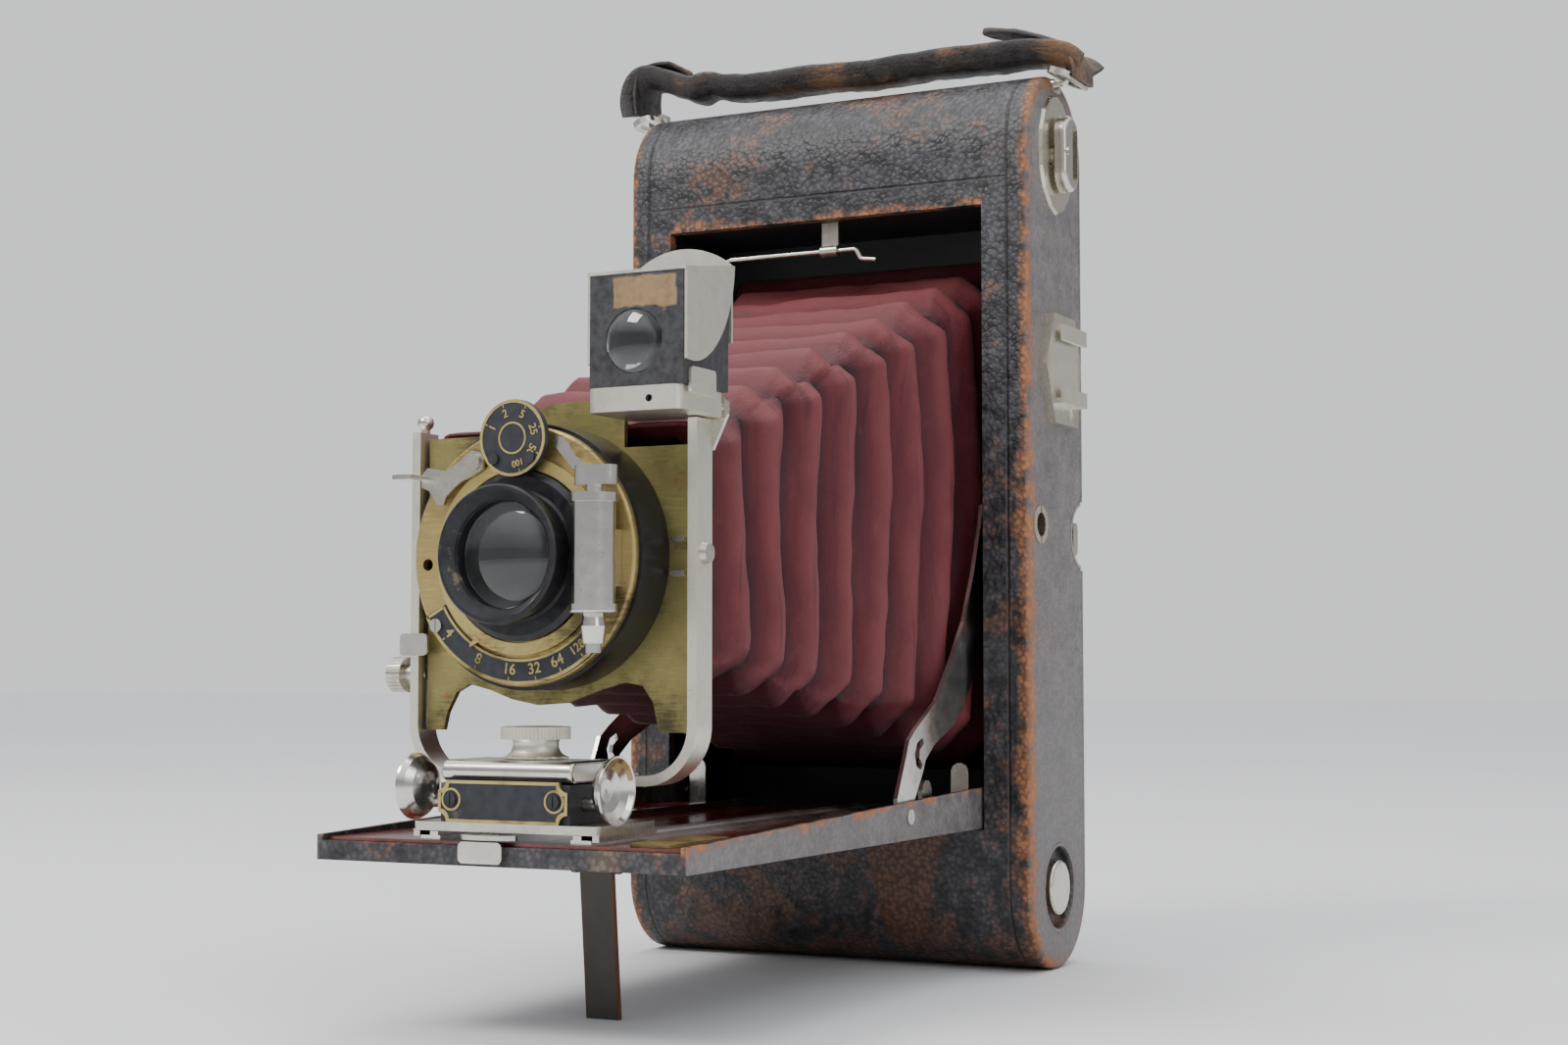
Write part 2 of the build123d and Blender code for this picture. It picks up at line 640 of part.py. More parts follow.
with BuildPart() as top_bar:
    # a bar with a half-round front
    with BuildSketch(side(-16.5, 0, 57.8)):
        with Locations((-166.6, 0)):
            Rectangle(14.2, 4.8)
        with Locations((-173.7, 0)):
            Circle(2.4)
    extrude(amount=33.0)
    fillet(top_bar.faces().sort_by(Axis.Z)[-1].edges().filter_by(Axis.Y), 0.8)
    with BuildSketch(top(54.0, 0, -164.0)):
        Circle(2.45)
    extrude(amount=12.0, mode=Mode.SUBTRACT)
top_bar.part.label = "top_bar"
export_step(top_bar.part, "parts/top_bar.step")

with BuildPart() as name_plate:
    with BuildSketch(front(-176.15, 0, 51.4)):
        Rectangle(32.6, 9.0)
        with Locations((-16.3, -4.5), (16.3, -4.5), (-16.3, 4.5), (16.3, 4.5)):
            Circle(2.1, mode=Mode.SUBTRACT)
    extrude(amount=0.9)
    for xs, zs in ((-13.0, 0.4), (13.0, 0.4)):
        with BuildSketch(front(-170.0, xs, 51.4 + zs)):
            Circle(0.9)
        extrude(amount=8.0, mode=Mode.SUBTRACT)
name_plate.part.label = "name_plate"

with BuildPart() as plate_screws:
    for xs in (-13.0, 13.0):
        with BuildSketch(front(-176.2, xs, 51.8)):
            Circle(0.85)
        extrude(amount=0.9)
        with BuildSketch(front(-177.05, xs, 51.8)):
            Circle(1.4)
        extrude(amount=0.5)
        with BuildSketch(front(-177.35, xs, 51.8)):
            Rectangle(0.4, 4.0)
        extrude(amount=0.5, mode=Mode.SUBTRACT)
plate_screws.part.label = "plate_screws"

# cup-shaped finger grips, hollow outwards, each on a stem that slides in the block
GRIP = [(0.0, 0.0), (0.2, 2.4), (0.9, 4.5), (1.9, 6.1), (2.8, 6.9), (2.9, 7.3), (2.3, 7.25), (1.1, 6.6),
        (-0.3, 5.3), (-1.3, 3.4), (-1.8, 1.6), (-1.9, 0.0), (0.0, 0.0)]
with BuildPart() as left_grip:
    with BuildSketch(front(-172.4, -22.9, 54.15)):
        with BuildLine():
            Polyline(*[(-u, v) for u, v in GRIP])
        make_face()
    revolve(axis=Axis((-22.9 + OX, -172.4 + OY, 54.15), (1, 0, 0)))
    with BuildSketch(side(-22.7, -170.0, 51.0)):
        Circle(1.5)
    extrude(amount=13.7)
left_grip.part.label = "left_grip"
export_step(left_grip.part, "parts/left_grip.step")

with BuildPart() as right_grip:
    with BuildSketch(front(-172.4, 22.9, 54.15)):
        with BuildLine():
            Polyline(*GRIP)
        make_face()
    revolve(axis=Axis((22.9 + OX, -172.4 + OY, 54.15), (1, 0, 0)))
    with BuildSketch(side(9.0, -170.0, 51.0)):
        Circle(1.5)
    extrude(amount=13.7)
right_grip.part.label = "right_grip"
export_step(right_grip.part, "parts/right_grip.step")

with BuildPart() as clamp_knob:
    # scalloped collar
    with BuildSketch(top(60.35, 0, -164.0)):
        Circle(7.3)
        with PolarLocations(8.1, 14):
            Circle(1.35, mode=Mode.SUBTRACT)
    extrude(amount=1.6)
    # concave neck under a milled head
    with BuildSketch(top(61.9, 0, -164.0)):
        Circle(7.2)
    extrude(amount=2.8)
    with Locations(Plane(origin=(OX, -164.0 + OY, 63.25))):
        Torus(7.6, 2.6, mode=Mode.SUBTRACT)
    with BuildSketch(top(64.5, 0, -164.0)):
        Circle(7.6)
        with PolarLocations(7.6, 60):
            Circle(0.22, mode=Mode.SUBTRACT)
    extrude(amount=2.7)
    with BuildSketch(top(48.0, 0, -164.0)):
        Circle(2.4)
    extrude(amount=13.0)
clamp_knob.part.label = "clamp_knob"
export_step(clamp_knob.part, "parts/clamp_knob.step")

# U-shaped standard of flat nickelled bar
with BuildPart() as u_frame:
    with BuildSketch(front(-152.0, 0, 0)):
        with Locations((0, 54.5 + 60.0)):
            RectangleRounded(2 * FRAME_HW, 120.0, 13.0)
            RectangleRounded(2 * FRAME_HW - 4.4, 115.6, 10.8, mode=Mode.SUBTRACT)
        with Locations((0, FRAME_TOP + 30.0)):
            Rectangle(90.0, 60.0, mode=Mode.SUBTRACT)
    extrude(amount=7.0)
    with BuildSketch(side(-40.0, -155.5, 78.4)):
        Circle(1.27)
    extrude(amount=8.0, mode=Mode.SUBTRACT)
u_frame.part.label = "u_frame"
export_step(u_frame.part, "parts/u_frame.step")

with BuildPart() as frame_rivets:
    with BuildSketch(side(FRAME_HW, -155.5, 104.5)):
        Circle(2.6)
    extrude(amount=1.4, taper=20)
    with BuildSketch(top(FRAME_TOP, -35.9, -155.5)):
        Circle(1.0)
    extrude(amount=1.4)
    with Locations(top(FRAME_TOP + 2.4, -35.9, -155.5)):
        Sphere(1.9)
frame_rivets.part.label = "frame_rivets"

with BuildPart() as rise_bracket:
    with BuildSketch(front(-151.5, -38.2, 85.2)):
        RectangleRounded(2.3, 5.0, 0.8)
    extrude(amount=8.4)
    with BuildSketch(front(-159.1, -35.6, 85.2)):
        RectangleRounded(7.4, 5.0, 1.2)
    extrude(amount=0.8)
rise_bracket.part.label = "rise_bracket"

with BuildPart() as rise_knob:
    with BuildSketch(side(-43.6, -155.5, 78.4)):
        Circle(4.1)
        with PolarLocations(4.1, 30):
            Circle(0.2, mode=Mode.SUBTRACT)
    extrude(amount=3.8)
    with BuildSketch(side(-40.0, -155.5, 78.4)):
        Circle(2.4)
    extrude(amount=2.8)
    with BuildSketch(side(-38.0, -155.5, 78.4)):
        Circle(1.2)
    extrude(amount=3.4)
rise_knob.part.label = "rise_knob"
export_step(rise_knob.part, "parts/rise_knob.step")

# ============================ LENS AND SHUTTER ==============================
BOARD = [(-34, 66), (-29.5, 66), (-28.5, 70), (-26, 74.5), (-22.5, 76.3), (-17, 75), (-11, 72.9), (-4.4, 71.7),
         (3.4, 72.2), (11, 74.8), (18, 76.8), (22.4, 76), (25, 72.5), (26.5, 66), (34, 66), (34, 128), (17.6, 128),
         (17.6, 134.4), (12.5, 137.4), (6, 138.9), (-2, 138.3), (-8, 136), (-14, 132.2), (-34, 132), (-34, 66)]
with BuildPart() as lens_board:
    with BuildSketch(front(-155.1, 0, 0)):
        with BuildLine():
            Polyline(*BOARD)
        make_face()
        with Locations((0, LENS_Z)):
            Circle(13.2, mode=Mode.SUBTRACT)
    extrude(amount=1.4)
lens_board.part.label = "lens_board"
export_step(lens_board.part, "parts/lens_board.step")

with BuildPart() as board_pins:
    for zz in (100.2, 107.6):
        with BuildSketch(front(-156.5, 31.4, zz)):
            RectangleRounded(3.6, 1.2, 0.4)
        extrude(amount=1.0)
board_pins.part.label = "board_pins"

with BuildPart() as shutter_case:
    with BuildSketch(front(-156.55, 0, LENS_Z)):
        Circle(29.0)
        Circle(12.4, mode=Mode.SUBTRACT)
    extrude(amount=11.45)
    with BuildSketch(front(-159.0, 0, LENS_Z)):
        Circle(26.0)
    extrude(amount=10.0, mode=Mode.SUBTRACT)
    with BuildSketch(front(-159.0, 18.0, LENS_Z)):
        Circle(1.0)
    extrude(amount=8.0)
shutter_case.part.label = "shutter_case"
export_step(shutter_case.part, "parts/shutter_case.step")

with BuildPart() as shutter_face:
    with BuildSketch(front(-168.05, 0, LENS_Z)):
        Circle(28.2)
        Circle(14.0, mode=Mode.SUBTRACT)
    extrude(amount=1.95)
    fillet([e for e in shutter_face.edges().group_by(Axis.Y)[0] if e.radius > 20], 0.7)
    with BuildSketch(front(-160.0, -24.6, 102.6)):
        Circle(1.3)
    extrude(amount=12.0, mode=Mode.SUBTRACT)
shutter_face.part.label = "shutter_face"
export_step(shutter_face.part, "parts/shutter_face.step")

BL = [(-12.6, 0.0), (-11.6, 5.0), (-8.6, 9.2), (-4.4, 11.8), (0, 12.6), (4.4, 11.8), (9.0, 8.8), (14.0, 5.0), (19.6, 2.4),
      (20.4, 0.0), (19.6, -2.0), (17.0, -2.2), (14.0, -0.4), (-12.6, -0.4), (-12.6, 0.0)]
with BuildPart() as upper_blade:
    with BuildSketch(front(-164.6, 0, LENS_Z)):
        with BuildLine():
            Polyline(*BL)
        make_face()
        with Locations((18.0, 0)):
            Circle(1.05, mode=Mode.SUBTRACT)
    extrude(amount=0.25)
upper_blade.part.label = "upper_blade"
export_step(upper_blade.part, "parts/upper_blade.step")

with BuildPart() as lower_blade:
    with BuildSketch(front(-164.1, 0, LENS_Z)):
        with BuildLine():
            Polyline(*[(a, -b) for a, b in BL])
        make_face()
        with Locations((18.0, 0)):
            Circle(1.05, mode=Mode.SUBTRACT)
    extrude(amount=0.25)
lower_blade.part.label = "lower_blade"
export_step(lower_blade.part, "parts/lower_blade.step")

with BuildPart() as front_cell:
    with BuildSketch(Plane(origin=(OX, OY, LENS_Z), x_dir=(1, 0, 0), z_dir=(0, 0, 1))):
        with BuildLine():
            Polyline((11.6, -168.0), (13.6, -168.0), (13.6, -170.05), (18.4, -170.05), (18.4, -171.4), (17.2, -172.3),
                     (14.4, -172.3), (13.9, -173.0), (13.9, -177.6), (15.0, -178.4), (15.0, -180.0), (14.6, -180.4),
                     (13.9, -180.4), (12.0, -178.2), (11.6, -177.4), (11.6, -168.0))
        make_face()
    revolve(axis=Axis((OX, OY, LENS_Z), (0, 1, 0)))
front_cell.part.label = "front_cell"

with BuildPart() as front_lens:
    with BuildSketch(front(-173.2, 0, LENS_Z)):
        Circle(11.5)
    extrude(amount=6.0)
    with Locations((OX, -177.7 + 25.8 + OY, LENS_Z)):
        Sphere(25.8, mode=Mode.INTERSECT)
front_lens.part.label = "front_lens"

with BuildPart() as rear_cell:
    with BuildSketch(front(-148.0, 0, LENS_Z)):
        Circle(13.1)
        Circle(10.6, mode=Mode.SUBTRACT)
    extrude(amount=8.5)
    with BuildSketch(front(-152.4, 0, LENS_Z)):
        Circle(15.4)
        Circle(13.1, mode=Mode.SUBTRACT)
    extrude(amount=2.6)
rear_cell.part.label = "rear_cell"

with BuildPart() as rear_lens:
    with BuildSketch(front(-148.4, 0, LENS_Z)):
        Circle(10.5)
    extrude(amount=5.2)
    with Locations((OX, -149.3 - 27.3 + OY, LENS_Z)):
        Sphere(27.3, mode=Mode.INTERSECT)
rear_lens.part.label = "rear_lens"

# aperture: fixed scale arc on the face, turning ring with its pointer
with BuildPart() as aperture_scale:
    with BuildSketch(front(-170.05, 0, LENS_Z)):
        Circle(27.8)
        Circle(22.2, mode=Mode.SUBTRACT)
        with BuildLine():
            Polyline((0, 0), (-50, -26.1), (-50, 50), (50, 50), (50, -48.3), (0, 0))
        make_face(mode=Mode.SUBTRACT)
    extrude(amount=0.6)
aperture_scale.part.label = "aperture_scale"
export_step(aperture_scale.part, "parts/aperture_scale.step")

with BuildPart() as aperture_ring:
    with BuildSketch(front(-170.1, 0, LENS_Z)):
        Circle(21.4)
        Circle(18.8, mode=Mode.SUBTRACT)
    extrude(amount=0.9)
    with BuildSketch(front(-170.75, 0, LENS_Z)):
        with BuildLine():
            Polyline((-11.0, -17.3), (-12.7, -19.2), (-12.4, -19.6), (-9.9, -18.2), (-11.0, -17.3))
        make_face()
    extrude(amount=0.5)
aperture_ring.part.label = "aperture_ring"
export_step(aperture_ring.part, "parts/aperture_ring.step")

with BuildPart() as face_screws:
    with BuildSketch(front(-170.65, -21.6, 89.2)):
        Circle(1.5)
    extrude(amount=0.7)
    with BuildSketch(front(-171.05, -21.6, 89.2)):
        Rectangle(0.4, 4.0)
    extrude(amount=0.5, mode=Mode.SUBTRACT)
    with BuildSketch(front(-170.05, -10.9, 124.6)):
        Circle(1.2)
    extrude(amount=3.2)
    with BuildSketch(front(-172.6, -10.9, 124.6)):
        Circle(1.9)
    extrude(amount=0.9)
face_screws.part.label = "face_screws"

with BuildPart() as speed_dial:
    with BuildSketch(front(-172.6, 0, 129.3)):
        Circle(8.4)
    extrude(amount=1.5)
    fillet(speed_dial.edges().group_by(Axis.Y)[0], 0.4)
    with BuildSketch(front(-170.1, 0, 129.6)):
        Circle(2.2)
    extrude(amount=2.6)
speed_dial.part.label = "speed_dial"

with BuildPart() as dial_screws:
    for xs in (-4.6, 4.6):
        with BuildSketch(front(-174.15, xs, 124.9)):
            Circle(1.25)
        extrude(amount=0.6)
dial_screws.part.label = "dial_screws"

with BuildPart() as release_lever:
    with BuildSketch(front(-171.6, 0, 0)):
        with BuildLine():
            Polyline((-9.2, 126.6), (-11.6, 127.2), (-15.4, 124.4), (-18.6, 122.9), (-23.2, 123.8), (-24.6, 122.4),
                     (-24.8, 119.6), (-22.6, 118.6), (-20.6, 115.6), (-19.0, 115.5), (-18.0, 117.6), (-14.6, 120.4),
                     (-10.9, 122.0), (-8.8, 123.2), (-8.4, 125.2), (-9.2, 126.6))
        make_face()
        with Locations((-10.9, 124.6)):
            Circle(1.26, mode=Mode.SUBTRACT)
    extrude(amount=0.9)
    with BuildSketch(front(-171.6, -26.2, 121.6)):
        RectangleRounded(5.0, 1.0, 0.3)
    extrude(amount=6.4)
release_lever.part.label = "release_lever"
export_step(release_lever.part, "parts/release_lever.step")

with BuildPart() as link_arm:
    with BuildSketch(front(-170.05, 0, 0)):
        with BuildLine():
            Polyline((9.4, 129.6), (11.6, 129.0), (14.6, 124.8), (19.0, 121.8), (18.4, 119.8), (13.4, 122.6),
                     (10.0, 126.4), (8.8, 127.6), (9.4, 129.6))
        make_face()
    extrude(amount=1.4)
link_arm.part.label = "link_arm"

CYL_X, CYL_Y = 22.0, -176.3
with BuildPart() as bulb_cylinder:
    with BuildSketch(top(91.3, CYL_X, CYL_Y)):
        Circle(4.6)
    extrude(amount=25.2)
    for zz in (91.3, 114.6):
        with BuildSketch(top(zz, CYL_X, CYL_Y)):
            Circle(5.15)
        extrude(amount=1.9)
    fillet(bulb_cylinder.edges().filter_by(GeomType.CIRCLE).sort_by(Axis.Z)[0], 0.5)
    with BuildSketch(top(83.0, CYL_X, CYL_Y)):
        Circle(1.7)
    extrude(amount=2.0)
    with BuildSketch(top(85.0, CYL_X, CYL_Y)):
        Circle(2.2)
    extrude(amount=3.6, taper=-8)
    with BuildSketch(top(88.6, CYL_X, CYL_Y)):
        Circle(2.7)
    extrude(amount=2.8, taper=10)
    with BuildSketch(top(97.0, CYL_X + 1.6, CYL_Y + 3.4)):
        Rectangle(3.0, 6.0)
    extrude(amount=12.0)
    with BuildSketch(top(95.0, CYL_X, CYL_Y)):
        Circle(1.75)
    extrude(amount=30.0, mode=Mode.SUBTRACT)
    with BuildSketch(front(-170.05, 0, LENS_Z)):
        Rectangle(80, 80)
    extrude(amount=-5.0, mode=Mode.SUBTRACT)
bulb_cylinder.part.label = "bulb_cylinder"

with BuildPart() as bulb_piston:
    with BuildSketch(top(99.0, CYL_X, CYL_Y)):
        Circle(1.7)
    extrude(amount=19.4)
    with BuildSketch(top(118.2, CYL_X - 0.8, CYL_Y + 0.6)):
        with Locations((-1.6, 0)):
            Circle(2.4)
        with Locations((1.2, 0)):
            Rectangle(6.0, 4.4)
        with Locations((3.6, 0)):
            Circle(2.2)
    extrude(amount=4.2)
bulb_piston.part.label = "bulb_piston"
export_step(bulb_piston.part, "parts/bulb_piston.step")

# ============================ FINDER ========================================
FX0, FX1, FY0, FY1 = 18.2, 41.0, -172.2, -152.3
FXM = (FX0 + FX1) / 2
with BuildPart() as finder_body:
    with BuildSketch(top(139.2, FXM, (FY0 + FY1) / 2)):
        Rectangle(FX1 - FX0, FY1 - FY0)
    extrude(amount=24.0)
    with BuildSketch(top(140.4, FXM, (FY0 + FY1) / 2)):
        Rectangle(FX1 - FX0 - 2.4, FY1 - FY0 - 2.4)
    extrude(amount=30.0, mode=Mode.SUBTRACT)
    with BuildSketch(front(-160.0, FXM - 0.6, 148.8)):
        Circle(6.9)
    extrude(amount=20.0, mode=Mode.SUBTRACT)
finder_body.part.label = "finder_body"
export_step(finder_body.part, "parts/finder_body.step")

with BuildPart() as finder_lens:
    with BuildSketch(front(-171.0, FXM - 0.6, 148.8)):
        Circle(6.8)
    extrude(amount=4.0)
    with Locations((FXM - 0.6 + OX, -174.0 + 12.6 + OY, 148.8)):
        Sphere(12.6, mode=Mode.INTERSECT)
finder_lens.part.label = "finder_lens"

with BuildPart() as finder_mirror:
    with BuildSketch(side(FX0 + 1.4, 0, 0)):
        with BuildLine():
            Polyline((-169.6, 141.0), (-168.4, 140.6), (-153.8, 159.4), (-154.9, 160.2), (-169.6, 141.0))
        make_face()
    extrude(amount=FX1 - FX0 - 2.8)
finder_mirror.part.label = "finder_mirror"

with BuildPart() as finder_glass:
    with BuildSketch(top(161.6, FXM, (FY0 + FY1) / 2)):
        Rectangle(FX1 - FX0 - 2.6, FY1 - FY0 - 2.6)
    extrude(amount=1.2)
finder_glass.part.label = "finder_glass"

with BuildPart() as finder_hood:
    for xs in (FX0 - 0.75, FX1 + 0.05):
        with BuildSketch(side(xs, 0, 0)):
            with BuildLine():
                Line((-171.9, 163.8), (-171.9, 144.4))
                Spline((-171.9, 144.4), (-166.0, 144.6), (-158.0, 149.6), (-152.2, 159.0), (-150.6, 167.0))
                Line((-150.6, 167.0), (-171.9, 163.8))
            make_face()
        extrude(amount=0.7)
    with BuildSketch(front(-151.5, FXM, 0)):
        with BuildLine():
            Line((-12.1, 150.0), (12.1, 150.0))
            Line((12.1, 150.0), (12.1, 166.9))
            ThreePointArc((12.1, 166.9), (0.0, 171.4), (-12.1, 166.9))
            Line((-12.1, 166.9), (-12.1, 150.0))
        make_face()
    extrude(amount=0.7)
    with BuildSketch(front(FY0 + 0.7, FXM, 163.6)):
        Rectangle(24.2, 0.7)
    extrude(amount=0.8)
finder_hood.part.label = "finder_hood"

PIV_X, PIV_Z = 38.5, 136.3
with BuildPart() as finder_base:
    with BuildSketch(top(133.9, FXM - 0.6, (FY0 + FY1) / 2 - 0.2)):
        RectangleRounded(22.6, 20.4, 2.2)
    extrude(amount=5.2)
    with BuildSketch(top(134.9, FXM - 0.6, (FY0 + FY1) / 2 - 0.2)):
        RectangleRounded(20.6, 18.4, 1.4)
    extrude(amount=5.0, mode=Mode.SUBTRACT)
    with BuildSketch(front(-160.0, 33.0, 136.4)):
        Circle(0.8)
    extrude(amount=20.0, mode=Mode.SUBTRACT)
    with BuildSketch(side(41.1, -164.6, 140.2)):
        RectangleRounded(11.0, 5.6, 1.0)
    extrude(amount=0.7)
    with BuildSketch(top(137.6, 40.5, -164.6)):
        Rectangle(2.4, 9.0)
    extrude(amount=1.4)
    with BuildSketch(front(-150.0, PIV_X, PIV_Z)):
        Circle(1.24)
    extrude(amount=6.0, mode=Mode.SUBTRACT)
finder_base.part.label = "finder_base"

with BuildPart() as finder_arm:
    with BuildSketch(front(-150.9, 0, 0)):
        with BuildLine():
            Polyline((34.9, 127.0), (37.0, 127.0), (40.6, 134.6), (40.6, 137.6), (39.4, 138.8), (37.6, 138.8),
                     (36.4, 137.6), (36.0, 134.0), (34.9, 131.0), (34.9, 127.0))
        make_face()
    extrude(amount=1.1)
    with BuildSketch(front(-151.0, PIV_X, PIV_Z)):
        Circle(1.2)
    extrude(amount=2.6)
finder_arm.part.label = "finder_arm"

# ============================ BELLOWS =======================================
with BuildPart() as bellows:
    with BuildSketch(front(-153.4, 0, 106.0)):
        Rectangle(66.0, 53.0)
    with BuildSketch(front(13.7, 0, 123.0)):
        Rectangle(88.0, 141.0)
    loft()
    with BuildSketch(front(-153.9, 0, 106.0)):
        Rectangle(61.0, 48.0)
    with BuildSketch(front(14.2, 0, 123.0)):
        Rectangle(83.0, 136.0)
    loft(mode=Mode.SUBTRACT)
bellows.part.label = "bellows"
export_step(bellows.part, "parts/bellows.step")

# pieces that share one node as a group of separate solids
winding_key_group = Compound(label="winding_key", children=[winding_shaft.part, winding_key.part, key_pivot.part])
export_step(winding_key_group, "parts/winding_key.step")

tripod_bush_group = Compound(label="tripod_bush", children=[tripod_bush.part, plug_washer.part])
export_step(tripod_bush_group, "parts/tripod_bush.step")

catch_wire_group = Compound(label="catch_wire", children=[catch_wire.part, wire_clip.part])
export_step(catch_wire_group, "parts/catch_wire.step")

strap_rings_group = Compound(label="strap_rings", children=[strap_rings.part, strap_eyes.part])
export_step(strap_rings_group, "parts/strap_rings.step")

leg_bracket_group = Compound(label="leg_bracket", children=[leg_bracket.part, leg_pin.part])
export_step(leg_bracket_group, "parts/leg_bracket.step")

side_struts_group = Compound(label="side_struts", children=[left_strut.part, right_strut.part])
export_step(side_struts_group, "parts/side_struts.step")

strut_fittings_group = Compound(label="strut_fittings", children=[strut_posts.part, strut_screws.part])
export_step(strut_fittings_group, "parts/strut_fittings.step")

accessory_shoe_group = Compound(label="accessory_shoe", children=[accessory_shoe.part, shoe_screws.part])
export_step(accessory_shoe_group, "parts/accessory_shoe.step")

name_plate_group = Compound(label="name_plate", children=[name_plate.part, plate_screws.part])
export_step(name_plate_group, "parts/name_plate.step")

frame_fittings_group = Compound(label="frame_fittings", children=[frame_rivets.part, rise_bracket.part, finder_arm.part])
export_step(frame_fittings_group, "parts/frame_fittings.step")

lens_screws_group = Compound(label="lens_screws", children=[face_screws.part, board_pins.part])
export_step(lens_screws_group, "parts/lens_screws.step")

speed_dial_group = Compound(label="speed_dial", children=[speed_dial.part, dial_screws.part])
export_step(speed_dial_group, "parts/speed_dial.step")

bulb_cylinder_group = Compound(label="bulb_cylinder", children=[bulb_cylinder.part, link_arm.part])
export_step(bulb_cylinder_group, "parts/bulb_cylinder.step")

finder_optics_group = Compound(label="finder_optics", children=[finder_lens.part, finder_glass.part, finder_mirror.part])
export_step(finder_optics_group, "parts/finder_optics.step")

lens_elements_group = Compound(label="lens_elements", children=[front_lens.part, rear_lens.part])
export_step(lens_elements_group, "parts/lens_elements.step")

lens_cells_group = Compound(label="lens_cells", children=[front_cell.part, rear_cell.part])
export_step(lens_cells_group, "parts/lens_cells.step")

red_window_group = Compound(label="red_window", children=[window_ring.part, red_window.part])
export_step(red_window_group, "parts/red_window.step")

finder_frame_group = Compound(label="finder_frame", children=[finder_base.part, finder_hood.part])
export_step(finder_frame_group, "parts/finder_frame.step")
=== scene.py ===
import bpy, bmesh, math, random
from mathutils import Vector, Matrix, noise


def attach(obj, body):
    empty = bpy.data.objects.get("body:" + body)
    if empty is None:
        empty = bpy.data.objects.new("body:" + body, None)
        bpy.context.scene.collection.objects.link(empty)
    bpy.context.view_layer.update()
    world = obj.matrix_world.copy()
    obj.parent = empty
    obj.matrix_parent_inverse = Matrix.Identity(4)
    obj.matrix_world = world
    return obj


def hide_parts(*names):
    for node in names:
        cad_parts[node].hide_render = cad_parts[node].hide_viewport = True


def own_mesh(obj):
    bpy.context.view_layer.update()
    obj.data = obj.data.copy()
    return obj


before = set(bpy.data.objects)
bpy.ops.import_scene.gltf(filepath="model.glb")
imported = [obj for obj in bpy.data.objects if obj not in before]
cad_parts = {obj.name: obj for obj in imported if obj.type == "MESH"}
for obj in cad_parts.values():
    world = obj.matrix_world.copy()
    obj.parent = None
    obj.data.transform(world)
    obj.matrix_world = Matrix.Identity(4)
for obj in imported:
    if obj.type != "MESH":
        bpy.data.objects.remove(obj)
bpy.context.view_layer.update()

OX, OY = -0.958, 79.975            # millimetres from the construction frame to the row frame


def P(x, y, z):
    """A point given in millimetres in the construction frame, as metres in the row frame."""
    return Vector(((x + OX) / 1000, (y + OY) / 1000, z / 1000))


# ---------------------------------------------------------------- camera
cam_d = bpy.data.cameras.new("camera")
cam = bpy.data.objects.new("camera", cam_d)
bpy.context.scene.collection.objects.link(cam)
cam_d.sensor_width = 36.0
cam_d.lens = 2373.793 / 1600 * 36.0
cam_d.clip_start, cam_d.clip_end = 0.01, 50
cam.location = P(276.43, -593.27, 79.22)
_to = P(-22.125, 0, 121.617)
cam.rotation_euler = (_to - cam.location).to_track_quat('-Z', 'Y').to_euler()
bpy.context.scene.camera = cam


